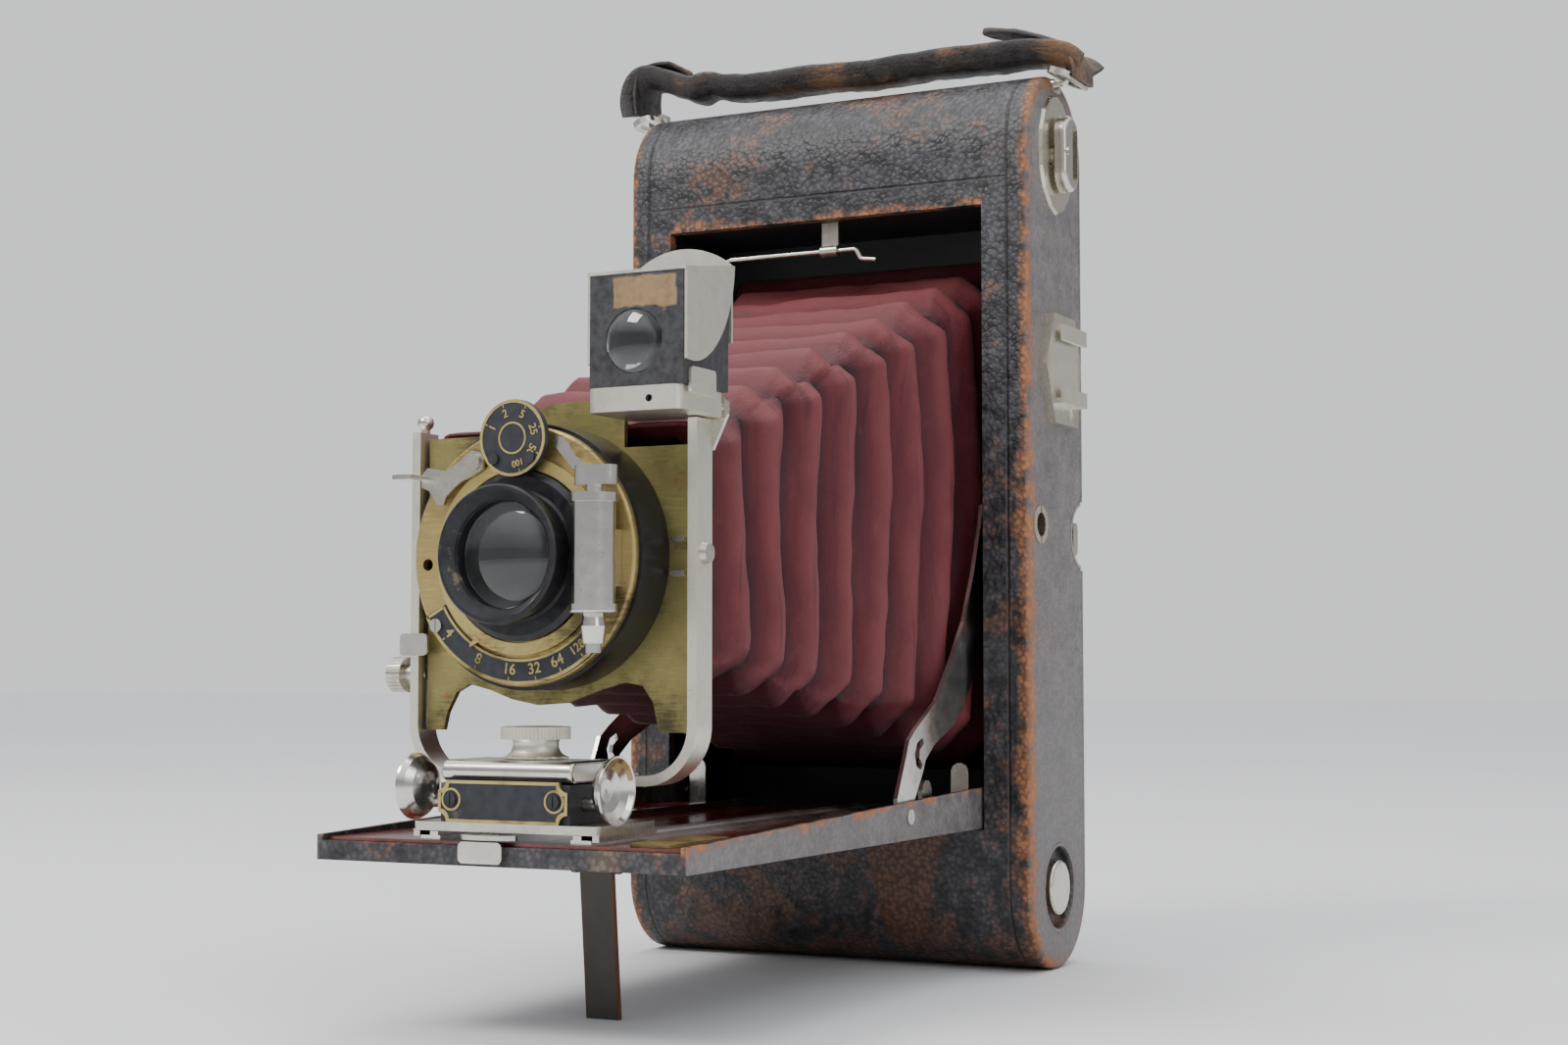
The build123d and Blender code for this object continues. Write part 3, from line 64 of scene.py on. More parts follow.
# ---------------------------------------------------------------- node helper
class NT:
    """Small helper that builds a node material."""

    def __init__(self, name):
        self.m = bpy.data.materials.new(name)
        self.m.use_nodes = True
        self.t = self.m.node_tree
        self.t.nodes.clear()
        self.out = self.t.nodes.new("ShaderNodeOutputMaterial")
        self.b = self.t.nodes.new("ShaderNodeBsdfPrincipled")
        self.t.links.new(self.b.outputs[0], self.out.inputs[0])
        self.tc = self.t.nodes.new("ShaderNodeTexCoord")
        self.obj = self.tc.outputs["Object"]

    def put(self, socket, v):
        if hasattr(v, "links") or isinstance(v, bpy.types.NodeSocket):
            self.t.links.new(v, socket)
        elif isinstance(v, (tuple, list)) and len(v) == 3 and socket.type == 'RGBA':
            socket.default_value = (*v, 1)
        else:
            socket.default_value = v

    def n(self, kind, ins=None, **props):
        nd = self.t.nodes.new(kind)
        for k, v in props.items():
            setattr(nd, k, v)
        for k, v in (ins or {}).items():
            self.put(nd.inputs[k], v)
        return nd

    def math(self, op, a, b=0.0, c=0.0, clamp=False):
        nd = self.n("ShaderNodeMath", {0: a, 1: b, 2: c}, operation=op)
        nd.use_clamp = clamp
        return nd.outputs[0]

    def mapping(self, scale=(1, 1, 1), loc=(0, 0, 0), rot=(0, 0, 0), src=None):
        nd = self.n("ShaderNodeMapping", {"Vector": src or self.obj, "Location": loc, "Rotation": rot, "Scale": scale})
        return nd.outputs[0]

    def noise(self, scale, detail=4, rough=0.55, dist=0.0, vec=None, color=False):
        nd = self.n("ShaderNodeTexNoise", {"Vector": vec or self.obj, "Scale": scale, "Detail": detail, "Roughness": rough, "Distortion": dist})
        return nd.outputs["Color" if color else 0]

    def voronoi(self, scale, feature='F1', vec=None, rand=1.0, out="Distance"):
        nd = self.n("ShaderNodeTexVoronoi", {"Vector": vec or self.obj, "Scale": scale, "Randomness": rand}, feature=feature)
        return nd.outputs[out]

    def ramp(self, fac, stops, interp='LINEAR'):
        nd = self.t.nodes.new("ShaderNodeValToRGB")
        nd.color_ramp.interpolation = interp
        e = nd.color_ramp.elements
        while len(e) < len(stops):
            e.new(0.5)
        for i, (p, c) in enumerate(stops):
            e[i].position = p
            if not isinstance(c, (tuple, list)):
                c = (c, c, c)
            e[i].color = (*c[:3], 1)
        self.put(nd.inputs[0], fac)
        return nd.outputs[0]

    def mix(self, fac, a, b, mode='MIX'):
        nd = self.t.nodes.new("ShaderNodeMix")
        nd.data_type = 'RGBA'
        nd.blend_type = mode
        self.put(nd.inputs[0], fac)
        self.put(nd.inputs[6], a)
        self.put(nd.inputs[7], b)
        return nd.outputs[2]

    def range(self, v, a, b, c=0.0, d=1.0):
        nd = self.n("ShaderNodeMapRange", {0: v, 1: a, 2: b, 3: c, 4: d})
        nd.clamp = True
        return nd.outputs[0]

    def bump(self, h, strength=0.5, dist=0.0005, normal=None):
        nd = self.n("ShaderNodeBump", {"Strength": strength, "Distance": dist, "Height": h})
        if normal is not None:
            self.put(nd.inputs["Normal"], normal)
        return nd.outputs[0]

    def sep(self, v=None):
        nd = self.n("ShaderNodeSeparateXYZ", {0: v or self.obj})
        return nd.outputs[0], nd.outputs[1], nd.outputs[2]

    def set(self, **kw):
        for k, v in kw.items():
            self.put(self.b.inputs[k.replace("_", " ")], v)
        return self


def mmxyz(nt):
    """x, y, z of the surface in millimetres of the construction frame."""
    v = nt.n("ShaderNodeVectorMath", {0: nt.obj, 1: (1000, 1000, 1000)}, operation='MULTIPLY').outputs[0]
    v = nt.n("ShaderNodeVectorMath", {0: v, 1: (-OX, -OY, 0)}, operation='ADD').outputs[0]
    return nt.sep(v)


def srgb(r, g, b):
    f = lambda c: (c / 255 / 12.92) if c / 255 <= 0.04045 else ((c / 255 + 0.055) / 1.055) ** 2.4
    return (f(r), f(g), f(b))


# ---------------------------------------------------------------- materials
def m_case(name="case_leather", bed=False):
    t = NT(name)
    x, y, z = mmxyz(t)
    ax = t.math('ABSOLUTE', x)
    # pebble grain: cells with domed tops, finer on the sides
    warp = t.noise(420, 3, 0.6, color=True)
    vec = t.n("ShaderNodeVectorMath", {0: t.obj, 1: warp}, operation='ADD').outputs[0]
    wv = t.n("ShaderNodeVectorMath", {0: warp, 1: (0.0012, 0.0012, 0.0012)}, operation='MULTIPLY').outputs[0]
    vec = t.n("ShaderNodeVectorMath", {0: t.obj, 1: wv}, operation='ADD').outputs[0]
    v1 = t.voronoi(720, 'F1', vec)
    v2 = t.voronoi(1500, 'F1', vec)
    fine = t.noise(2600, 3, 0.6)
    side = t.range(ax, 59.2 if not bed else 45.9, 60.2 if not bed else 46.4)
    grain = t.math('ADD', t.math('MULTIPLY', t.math('SUBTRACT', 1.0, t.math('POWER', v1, 1.6)), t.math('SUBTRACT', 1.0, t.math('MULTIPLY', side, 0.75))),
                   t.math('MULTIPLY', t.math('SUBTRACT', 1.0, v2), t.math('ADD', 0.25, t.math('MULTIPLY', side, 0.25))))
    # colours
    n1 = t.noise(38, 6, 0.62)
    n2 = t.noise(190, 5, 0.6)
    n3 = t.noise(14, 4, 0.5)
    black = t.mix(t.range(n2, 0.38, 0.66), (0.013, 0.013, 0.015), (0.085, 0.085, 0.098))
    # painted sheen and dust: the side faces are painted a lighter grey than the front, partly for the light sheen they
    # catch and partly for dust
    side_sheen_and_dust = t.mix(t.range(n2, 0.3, 0.7), (0.115, 0.106, 0.108), (0.215, 0.200, 0.200))
    base = t.mix(side, black, side_sheen_and_dust)
    # brown rubbed leather in specks, on the tops of the grain
    up = t.range(z, 200, 236)
    low = t.range(z, 40, 12)
    speck = t.math('ADD', n1, t.math('MULTIPLY', t.math('SUBTRACT', n2, 0.5), 0.55))
    thr = t.math('SUBTRACT', 0.565, t.math('ADD', t.math('MULTIPLY', low, 0.10), t.math('MULTIPLY', up, 0.035)))
    spk = t.math('MULTIPLY', t.range(t.math('SUBTRACT', speck, thr), 0.0, 0.07), t.math('SUBTRACT', 1.0, t.math('MULTIPLY', side, 0.72)))
    brown = t.mix(n2, (0.085, 0.030, 0.014), (0.26, 0.105, 0.045))
    base = t.mix(t.math('MULTIPLY', spk, 0.62), base, brown)
    # worn long edges
    if not bed:
        ex = t.math('SUBTRACT', 60.5, ax)
        ey = t.math('ADD', y, 21.5)
        dd = t.math('SQRT', t.math('ADD', t.math('MULTIPLY', ex, ex), t.math('MULTIPLY', t.math('MULTIPLY', ey, ey), 0.6)))
        # the rounded ends wear all along their rim
        zz = t.math('MAXIMUM', t.math('SUBTRACT', z, 219.5), t.math('SUBTRACT', 21.5, z))
        zz = t.math('MAXIMUM', zz, 0.0)
        rr = t.math('SQRT', t.math('ADD', t.math('MULTIPLY', zz, zz), t.math('MULTIPLY', y, y)))
        rim = t.math('SUBTRACT', 21.5, rr)
        d2 = t.math('SQRT', t.math('ADD', t.math('MULTIPLY', ex, ex), t.math('MULTIPLY', rim, rim)))
        isend = t.range(zz, 0.5, 3.0)
        dd = t.mix(isend, dd, d2)
        edge = t.math('SUBTRACT', dd, t.math('MULTIPLY', t.math('SUBTRACT', n1, 0.42), 9.0))
        wear = t.range(edge, 2.6, 0.9)
        wear = t.math('MULTIPLY', wear, t.range(n2, 0.34, 0.52))
        # opening edge
        ox = t.math('ABSOLUTE', t.math('SUBTRACT', ax, 47.5))
        oz = t.math('ABSOLUTE', t.math('SUBTRACT', z, 203.5))
        o1 = t.math('MAXIMUM', oz, t.math('MULTIPLY', t.range(ax, 47.5, 48.5), 9.0))
        o2 = t.math('SUBTRACT', o1, t.math('MULTIPLY', t.math('SUBTRACT', n1, 0.46), 14.0))
        w2 = t.math('MULTIPLY', t.range(o2, 2.6, 0.7), t.range(n2, 0.40, 0.55))
        w2 = t.math('MULTIPLY', w2, t.range(y, -10.0, -16.0))
        wear = t.math('MAXIMUM', wear, t.math('MULTIPLY', w2, 0.9))
        # bare patch under the bed
        px = t.math('ABSOLUTE', t.math('SUBTRACT', x, t.math('ADD', 26.0, t.math('MULTIPLY', t.math('SUBTRACT', 37.0, z), -0.12))))
        pw = t.math('ADD', 2.0, t.math('MULTIPLY', t.math('SUBTRACT', z, 2.0), 0.32))
        patch = t.math('MULTIPLY', t.range(t.math('SUBTRACT', px, t.math('ADD', pw, t.math('MULTIPLY', t.math('SUBTRACT', n1, 0.5), 14.0))), 1.0, -1.0),
                       t.math('MULTIPLY', t.range(z, 37.6, 36.6), t.range(y, -10.0, -16.0)))
        tan = t.mix(n2, (0.10, 0.036, 0.016), (0.20, 0.085, 0.038))
        base = t.mix(t.math('MULTIPLY', patch, 0.9), base, tan)
        # tooled line round the opening
        lx = t.math('ABSOLUTE', t.math('SUBTRACT', ax, 54.6))
        l1 = t.range(lx, 0.55, 0.12)
        lz = t.math('ABSOLUTE', t.math('SUBTRACT', z, 210.4))
        l2 = t.math('MULTIPLY', t.range(lz, 0.5, 0.12), t.range(ax, 54.8, 54.2))
        line = t.math('MULTIPLY', t.math('MAXIMUM', l1, l2), t.range(y, -6.0, -14.0))
        base = t.mix(t.math('MULTIPLY', line, 0.75), base, (0.006, 0.006, 0.007))
        ridge = t.math('MULTIPLY', line, -1.4)
    else:
        ex = t.math('MINIMUM', t.math('SUBTRACT', 46.5, ax), t.math('ADD', y, 179.8))
        ez = t.math('ABSOLUTE', t.math('SUBTRACT', z, t.math('ADD', 43.5, t.math('MULTIPLY', t.range(y, -179.8, -26.0), 5.0))))
        dd = t.math('SQRT', t.math('ADD', t.math('MULTIPLY', ex, ex), t.math('MULTIPLY', ez, ez)))
        edge = t.math('SUBTRACT', dd, t.math('MULTIPLY', t.math('SUBTRACT', n1, 0.42), 5.0))
        wear = t.math('MULTIPLY', t.range(edge, 1.1, 0.2), t.range(n2, 0.42, 0.55))
        # bleached brown spot near the front right corner
        bx = t.math('SUBTRACT', x, 27.0)
        by = t.math('ADD', y, 179.8)
        bd = t.math('SQRT', t.math('ADD', t.math('MULTIPLY', bx, bx), t.math('MULTIPLY', by, by)))
        sp = t.range(t.math('SUBTRACT', bd, t.math('MULTIPLY', n1, 14.0)), -1.0, -4.5)
        base = t.mix(t.math('MULTIPLY', sp, 0.8), base, (0.17, 0.125, 0.075))
        ridge = 0.0
    rust = t.mix(n2, (0.22, 0.075, 0.030), (0.50, 0.21, 0.085))
    base = t.mix(t.math('MULTIPLY', wear, 0.92), base, rust)
    dusty = t.math('MULTIPLY', t.range(n3, 0.45, 0.75), 0.10)
    base = t.mix(dusty, base, (0.28, 0.26, 0.25))
    # valleys of the grain keep the dark, unrubbed leather and are painted darker still as painted shade
    valley_shade = t.range(v1, 0.30, 0.62)
    base = t.mix(t.math('MULTIPLY', valley_shade, t.math('SUBTRACT', 0.55, t.math('MULTIPLY', side, 0.35))), base, (0.006, 0.005, 0.005))
    t.set(Base_Color=base, Roughness=t.range(t.math('ADD', n2, t.math('MULTIPLY', wear, 0.4)), 0.3, 0.9, 0.36, 0.66))
    t.b.inputs["Specular IOR Level"].default_value = 0.5
    h = t.math('ADD', t.math('ADD', grain, t.math('MULTIPLY', fine, 0.25)), ridge)
    h = t.math('SUBTRACT', h, t.math('MULTIPLY', wear, 0.35))
    t.put(t.b.inputs["Normal"], t.bump(h, 0.85, 0.00028))
    return t.m


def m_bellows():
    t = NT("bellows_leather")
    x, y, z = mmxyz(t)
    at = t.n("ShaderNodeAttribute", {}, attribute_name="fold").outputs["Fac"]
    n1 = t.noise(60, 6, 0.65)
    n2 = t.noise(260, 5, 0.6)
    st = t.noise(1.0, 5, 0.6, vec=t.mapping((30, 160, 16)))
    st2 = t.noise(1.0, 4, 0.6, vec=t.mapping((60, 420, 22)))
    # painted shade: the valleys of the folds are painted a deep dark red and the ridges a middle tone
    valley_shade, mid, ridge_highlight = srgb(38, 9, 14), srgb(86, 25, 33), srgb(116, 56, 60)
    c = t.mix(t.range(at, 0.05, 0.55), valley_shade, mid)
    # painted highlight: the ridges of the folds are painted lighter, broken up by noise
    c = t.mix(t.math('MULTIPLY', t.range(t.math('ADD', at, t.math('MULTIPLY', t.math('SUBTRACT', n1, 0.5), 0.9)), 0.62, 1.05), 0.85), c, ridge_highlight)
    c = t.mix(t.math('MULTIPLY', t.range(st, 0.5, 0.72), 0.45), c, srgb(108, 40, 46))
    c = t.mix(t.math('MULTIPLY', t.range(st2, 0.56, 0.70), 0.5), c, srgb(40, 12, 17))
    c = t.mix(t.math('MULTIPLY', t.range(n2, 0.60, 0.75), 0.30), c, srgb(118, 62, 64))
    # painted highlight: the upper edge of the bellows, towards the light above, is painted lighter
    top = t.math('MULTIPLY', t.range(t.math('SUBTRACT', z, t.math('ADD', 132.5, t.math('MULTIPLY', t.math('ADD', y, 153.4), 0.365))), -6.0, -1.0), 0.25)
    c = t.mix(top, c, srgb(122, 58, 58))
    # painted shade: the underside, which lies in shadow, is painted darker
    underside_shade = t.range(t.math('SUBTRACT', z, t.math('SUBTRACT', 79.5, t.math('MULTIPLY', t.math('ADD', y, 153.4), 0.161))), 5.0, -1.5)
    c = t.mix(t.math('MULTIPLY', underside_shade, 0.88), c, srgb(24, 9, 12))
    t.set(Base_Color=c, Roughness=t.range(n1, 0.3, 0.7, 0.50, 0.72))
    t.b.inputs["Specular IOR Level"].default_value = 0.35
    t.b.inputs["Sheen Weight"].default_value = 0.03
    g = t.voronoi(1500, 'F1')
    h = t.math('ADD', t.math('MULTIPLY', g, -0.5), t.math('ADD', t.math('MULTIPLY', st, 1.2), t.math('MULTIPLY', n2, 0.8)))
    t.put(t.b.inputs["Normal"], t.bump(h, 0.55, 0.0003))
    return t.m


def m_patch():
    t = NT("bellows_patch_cloth")
    n = t.noise(300, 5, 0.6)
    n1 = t.noise(40, 4, 0.6)
    c = t.mix(n, (0.018, 0.020, 0.024), (0.055, 0.060, 0.068))
    c = t.mix(t.math('MULTIPLY', t.range(n1, 0.55, 0.75), 0.3), c, (0.12, 0.12, 0.12))
    t.set(Base_Color=c, Roughness=0.75)
    w = t.n("ShaderNodeTexWave", {"Vector": t.mapping((1, 1, 1)), "Scale": 900, "Distortion": 1.5}).outputs["Fac"]
    t.put(t.b.inputs["Normal"], t.bump(t.math('ADD', t.math('MULTIPLY', w, 0.4), n), 0.6, 0.00015))
    return t.m


def m_strap():
    t = NT("strap_leather")
    x, y, z = mmxyz(t)
    n1 = t.noise(45, 6, 0.65)
    n2 = t.noise(240, 5, 0.62)
    fib = t.noise(1.0, 4, 0.6, vec=t.mapping((60, 900, 500)))
    c = t.mix(t.range(n2, 0.3, 0.7), (0.012, 0.011, 0.011), (0.050, 0.044, 0.042))
    w = t.range(t.math('ADD', n1, t.math('MULTIPLY', t.math('SUBTRACT', fib, 0.5), 0.5)), 0.52, 0.64)
    c = t.mix(t.math('MULTIPLY', w, 0.8), c, t.mix(n2, (0.10, 0.045, 0.018), (0.36, 0.16, 0.05)))
    under = t.math('MULTIPLY', t.range(n1, 0.42, 0.6), 0.35)
    c = t.mix(under, c, (0.11, 0.085, 0.06))
    t.set(Base_Color=c, Roughness=t.range(n2, 0.3, 0.7, 0.42, 0.75))
    h = t.math('ADD', t.math('ADD', n2, fib), t.math('MULTIPLY', t.voronoi(1100), -0.7))
    t.put(t.b.inputs["Normal"], t.bump(h, 0.7, 0.0003))
    return t.m


def m_nickel(name="nickel", tint=(0.78, 0.745, 0.66), dull=0.22, stain=0.35, scratch=0.5, dark=(0.30, 0.25, 0.17)):
    t = NT(name)
    n1 = t.noise(55, 6, 0.65)
    n2 = t.noise(320, 5, 0.6)
    n3 = t.noise(1400, 3, 0.6)
    sc = t.noise(1.0, 3, 0.7, vec=t.mapping((260, 2600, 520), rot=(0.4, 0.3, 0.5)))
    c = t.mix(t.range(n1, 0.35, 0.75), tint, tuple(k * 0.86 for k in tint))
    c = t.mix(t.math('MULTIPLY', t.range(t.math('ADD', n1, t.math('MULTIPLY', t.math('SUBTRACT', n2, 0.5), 0.8)), 0.56, 0.72), stain), c, dark)
    c = t.mix(t.math('MULTIPLY', t.range(n3, 0.62, 0.72), 0.35), c, tuple(k * 0.5 for k in dark))
    t.set(Base_Color=c, Metallic=t.range(n1, 0.55, 0.85, 1.0, 0.82),
          Roughness=t.range(t.math('ADD', t.math('MULTIPLY', n1, 0.6), t.math('MULTIPLY', n2, 0.4)), 0.3, 0.75, dull, dull + 0.24))
    h = t.math('ADD', t.math('MULTIPLY', n2, 0.6), t.math('ADD', t.math('MULTIPLY', sc, scratch), t.math('MULTIPLY', n3, 0.25)))
    t.put(t.b.inputs["Normal"], t.bump(h, 0.18, 0.0001))
    return t.m


def m_brass(name="brass", a=(0.34, 0.295, 0.12), b=(0.22, 0.19, 0.075), rust=0.8, dull=0.36, metal=0.9):
    t = NT(name)
    x, y, z = mmxyz(t)
    n1 = t.noise(48, 6, 0.66)
    n2 = t.noise(230, 5, 0.6)
    br = t.noise(1.0, 4, 0.65, vec=t.mapping((170, 170, 1900), rot=(0, 0.55, 0)))
    br2 = t.noise(1.0, 3, 0.65, vec=t.mapping((1500, 150, 240), rot=(0, 0.35, 0)))
    c = t.mix(t.range(n1, 0.3, 0.7), a, b)
    c = t.mix(t.math('MULTIPLY', t.range(br, 0.5, 0.68), 0.45), c, tuple(k * 1.35 for k in a))
    c = t.mix(t.math('MULTIPLY', t.range(t.math('ADD', n1, t.math('MULTIPLY', t.math('SUBTRACT', br, 0.5), 0.5)), 0.50, 0.66), 0.80), c, (0.055, 0.050, 0.034))
    c = t.mix(t.math('MULTIPLY', t.range(t.math('ADD', t.noise(75, 5, 0.6, 0.6), t.math('MULTIPLY', n2, 0.15)), 0.70, 0.76), rust), c, (0.42, 0.11, 0.035))
    t.set(Base_Color=c, Metallic=metal, Roughness=t.range(t.math('ADD', t.math('MULTIPLY', n1, 0.5), t.math('MULTIPLY', br, 0.5)), 0.3, 0.7, dull, dull + 0.25))
    h = t.math('ADD', t.math('ADD', br, br2), t.math('MULTIPLY', n2, 0.5))
    t.put(t.b.inputs["Normal"], t.bump(h, 0.28, 0.00012))
    return t.m


def m_black(name="black_enamel", base=(0.012, 0.012, 0.013), rough=0.38, wear=(0.20, 0.155, 0.075), amount=0.6, thr=0.66, metal=0.0):
    t = NT(name)
    n1 = t.noise(65, 6, 0.66)
    n2 = t.noise(420, 5, 0.6)
    c = t.mix(t.range(n2, 0.35, 0.75), base, tuple(k * 2.6 for k in base))
    c = t.mix(t.math('MULTIPLY', t.range(t.math('ADD', n1, t.math('MULTIPLY', t.math('SUBTRACT', n2, 0.5), 0.5)), thr, thr + 0.05), amount), c, wear)
    t.set(Base_Color=c, Metallic=metal, Roughness=t.range(t.math('ADD', t.math('MULTIPLY', n1, 0.5), t.math('MULTIPLY', n2, 0.5)), 0.3, 0.7, rough, rough + 0.25))
    t.put(t.b.inputs["Normal"], t.bump(t.math('ADD', n2, t.math('MULTIPLY', n1, 0.6)), 0.25, 0.00012))
    return t.m


def m_wood():
    t = NT("mahogany_polished")
    n1 = t.noise(1.0, 6, 0.65, vec=t.mapping((220, 14, 220)))
    n2 = t.noise(1.0, 5, 0.6, vec=t.mapping((900, 60, 900)))
    n3 = t.noise(40, 4, 0.6)
    c = t.mix(t.range(n1, 0.3, 0.7), srgb(64, 14, 9), srgb(128, 38, 20))
    c = t.mix(t.math('MULTIPLY', t.range(n2, 0.5, 0.7), 0.5), c, srgb(36, 9, 7))
    c = t.mix(t.math('MULTIPLY', t.range(n3, 0.6, 0.75), 0.35), c, srgb(30, 16, 12))
    t.set(Base_Color=c, Roughness=t.range(n3, 0.3, 0.7, 0.16, 0.38))
    t.b.inputs["Coat Weight"].default_value = 0.6
    t.b.inputs["Coat Roughness"].default_value = 0.12
    t.put(t.b.inputs["Normal"], t.bump(t.math('ADD', n1, n2), 0.12, 0.0001))
    return t.m


def m_steel():
    t = NT("leg_steel")
    x, y, z = mmxyz(t)
    n1 = t.noise(60, 6, 0.65)
    n2 = t.noise(300, 5, 0.62)
    c = t.mix(t.range(n1, 0.3, 0.7), (0.050, 0.046, 0.042), (0.105, 0.095, 0.085))
    ed = t.range(t.math('ADD', t.math('ABSOLUTE', t.math('ADD', x, 1.8)), t.math('MULTIPLY', n2, 0.8)), 4.25, 4.6)
    c = t.mix(t.math('MULTIPLY', ed, 0.8), c, (0.16, 0.055, 0.028))
    c = t.mix(t.math('MULTIPLY', t.range(n2, 0.6, 0.72), 0.4), c, (0.13, 0.07, 0.04))
    t.set(Base_Color=c, Metallic=0.55, Roughness=t.range(n1, 0.3, 0.7, 0.42, 0.68))
    t.put(t.b.inputs["Normal"], t.bump(t.math('ADD', n1, n2), 0.3, 0.00015))
    return t.m


def m_glass(name="lens_glass", col=(0.80, 0.84, 0.83), rough=0.03):
    t = NT(name)
    n = t.noise(90, 5, 0.6)
    sm = t.noise(30, 4, 0.6)
    t.set(Base_Color=col, Roughness=t.range(t.math('ADD', t.math('MULTIPLY', n, 0.4), t.math('MULTIPLY', sm, 0.6)), 0.45, 0.8, rough, rough + 0.10))
    t.b.inputs["Transmission Weight"].default_value = 1.0
    t.b.inputs["IOR"].default_value = 1.52
    t.b.inputs["Coat Weight"].default_value = 0.4
    t.b.inputs["Coat Roughness"].default_value = 0.02
    return t.m


def m_spool():
    t = NT("spool_wood")
    x, y, z = mmxyz(t)
    n1 = t.noise(1.0, 5, 0.6, vec=t.mapping((20, 300, 300)))
    end = t.range(t.math('ABSOLUTE', x), 45.8, 46.0)
    c = t.mix(n1, srgb(120, 84, 44), srgb(176, 132, 78))
    c = t.mix(end, c, (0.02, 0.02, 0.02))
    t.set(Base_Color=c, Roughness=t.range(n1, 0.3, 0.7, 0.45, 0.7), Metallic=t.math('MULTIPLY', end, 0.6))
    t.put(t.b.inputs["Normal"], t.bump(n1, 0.2, 0.0001))
    return t.m


def m_paint(name, c0, c1, rough=0.45, metal=0.0, scale=500, bump=0.2):
    t = NT(name)
    n = t.noise(scale, 5, 0.6)
    n1 = t.noise(scale * 0.15, 4, 0.6)
    t.set(Base_Color=t.mix(t.range(t.math('ADD', t.math('MULTIPLY', n, 0.5), t.math('MULTIPLY', n1, 0.5)), 0.35, 0.65), c0, c1), Metallic=metal,
          Roughness=t.range(n, 0.3, 0.7, rough, rough + 0.2))
    t.put(t.b.inputs["Normal"], t.bump(n, bump, 0.0001))
    return t.m


M = {}
M['case'] = m_case()
M['bed'] = m_case("bed_leather", bed=True)
M['bellows'] = m_bellows()
M['patch'] = m_patch()
M['strap'] = m_strap()
M['nickel'] = m_nickel(tint=(0.66, 0.63, 0.56), dull=0.17)
M['nickel_bright'] = m_nickel("nickel_bright", (0.70, 0.685, 0.645), 0.09, 0.18, 0.3)
M['nickel_cream'] = m_nickel("nickel_cream", (0.80, 0.765, 0.66), 0.30, 0.12, 0.3, dark=(0.42, 0.38, 0.27))
M['nickel_brown'] = m_nickel("nickel_brown", (0.74, 0.68, 0.57), 0.17, 0.5, 0.6, dark=(0.36, 0.25, 0.15))
M['alum'] = m_nickel("aluminium_plate", (0.74, 0.745, 0.75), 0.30, 0.10, 0.3, dark=(0.42, 0.42, 0.42))
M['brass'] = m_brass()
M['brass_face'] = m_brass("brass_face", (0.47, 0.36, 0.15), (0.34, 0.25, 0.10), rust=0.25, dull=0.34)
M['brass_line'] = m_brass("brass_line", (0.60, 0.48, 0.20), (0.45, 0.36, 0.14), rust=0.1, dull=0.32)
M['black'] = m_black()
M['black_in'] = m_black("black_interior", (0.006, 0.006, 0.007), 0.42, amount=0.0)
M['black_barrel'] = m_black("black_barrel", (0.010, 0.010, 0.012), 0.26, wear=(0.22, 0.17, 0.08), amount=0.5, thr=0.68, metal=0.3)
M['black_field'] = m_black("black_field", (0.010, 0.011, 0.015), 0.42, wear=(0.16, 0.12, 0.06), amount=0.35, thr=0.68)
M['wood'] = m_wood()
M['steel'] = m_steel()
M['glass'] = m_glass()
M['spool'] = m_spool()
M['rubber_red'] = m_glass("ruby_glass", (0.55, 0.02, 0.015), 0.06)
M['green_rivet'] = m_paint("verdigris_rivet", (0.035, 0.10, 0.095), (0.10, 0.20, 0.17), 0.4, 0.5)


# ---------------------------------------------------------------- helpers for pieces
def link(o):
    bpy.context.scene.collection.objects.link(o)
    return o


def mesh_obj(name, verts, faces, mat, smooth=True, uvs=None):
    me = bpy.data.meshes.new(name)
    me.from_pydata([tuple(v) for v in verts], [], faces)
    me.validate()
    me.update()
    if smooth:
        for p in me.polygons:
            p.use_smooth = True
    me.materials.append(mat)
    return link(bpy.data.objects.new(name, me))


def curve_obj(name, pts, r, mat, cyclic=False, kind='POLY', res=6, radii=None):
    """A round wire or bead along points given in construction millimetres."""
    cu = bpy.data.curves.new(name, 'CURVE')
    cu.dimensions = '3D'
    cu.bevel_depth = r / 1000
    cu.bevel_resolution = res
    cu.resolution_u = 12
    cu.use_fill_caps = True
    if kind == 'POLY':
        s = cu.splines.new('POLY')
        s.points.add(len(pts) - 1)
        for p, q in zip(s.points, pts):
            p.co = (*P(*q), 1)
    else:
        s = cu.splines.new('NURBS')
        s.points.add(len(pts) - 1)
        for p, q in zip(s.points, pts):
            p.co = (*P(*q), 1)
        s.order_u = 4
        s.use_endpoint_u = not cyclic
    if radii:
        for p, q in zip(s.points, radii):
            p.radius = q
    s.use_cyclic_u = cyclic
    s.use_smooth = True
    cu.materials.append(mat)
    o = link(bpy.data.objects.new(name, cu))
    return to_mesh(o)


def to_mesh(o):
    dg = bpy.context.evaluated_depsgraph_get()
    me = bpy.data.meshes.new_from_object(o.evaluated_get(dg))
    name, mats = o.name, [m for m in o.data.materials]
    old = o.data
    bpy.data.objects.remove(o)
    me.name = name
    if not me.materials:
        for m in mats:
            me.materials.append(m)
    return link(bpy.data.objects.new(name, me))


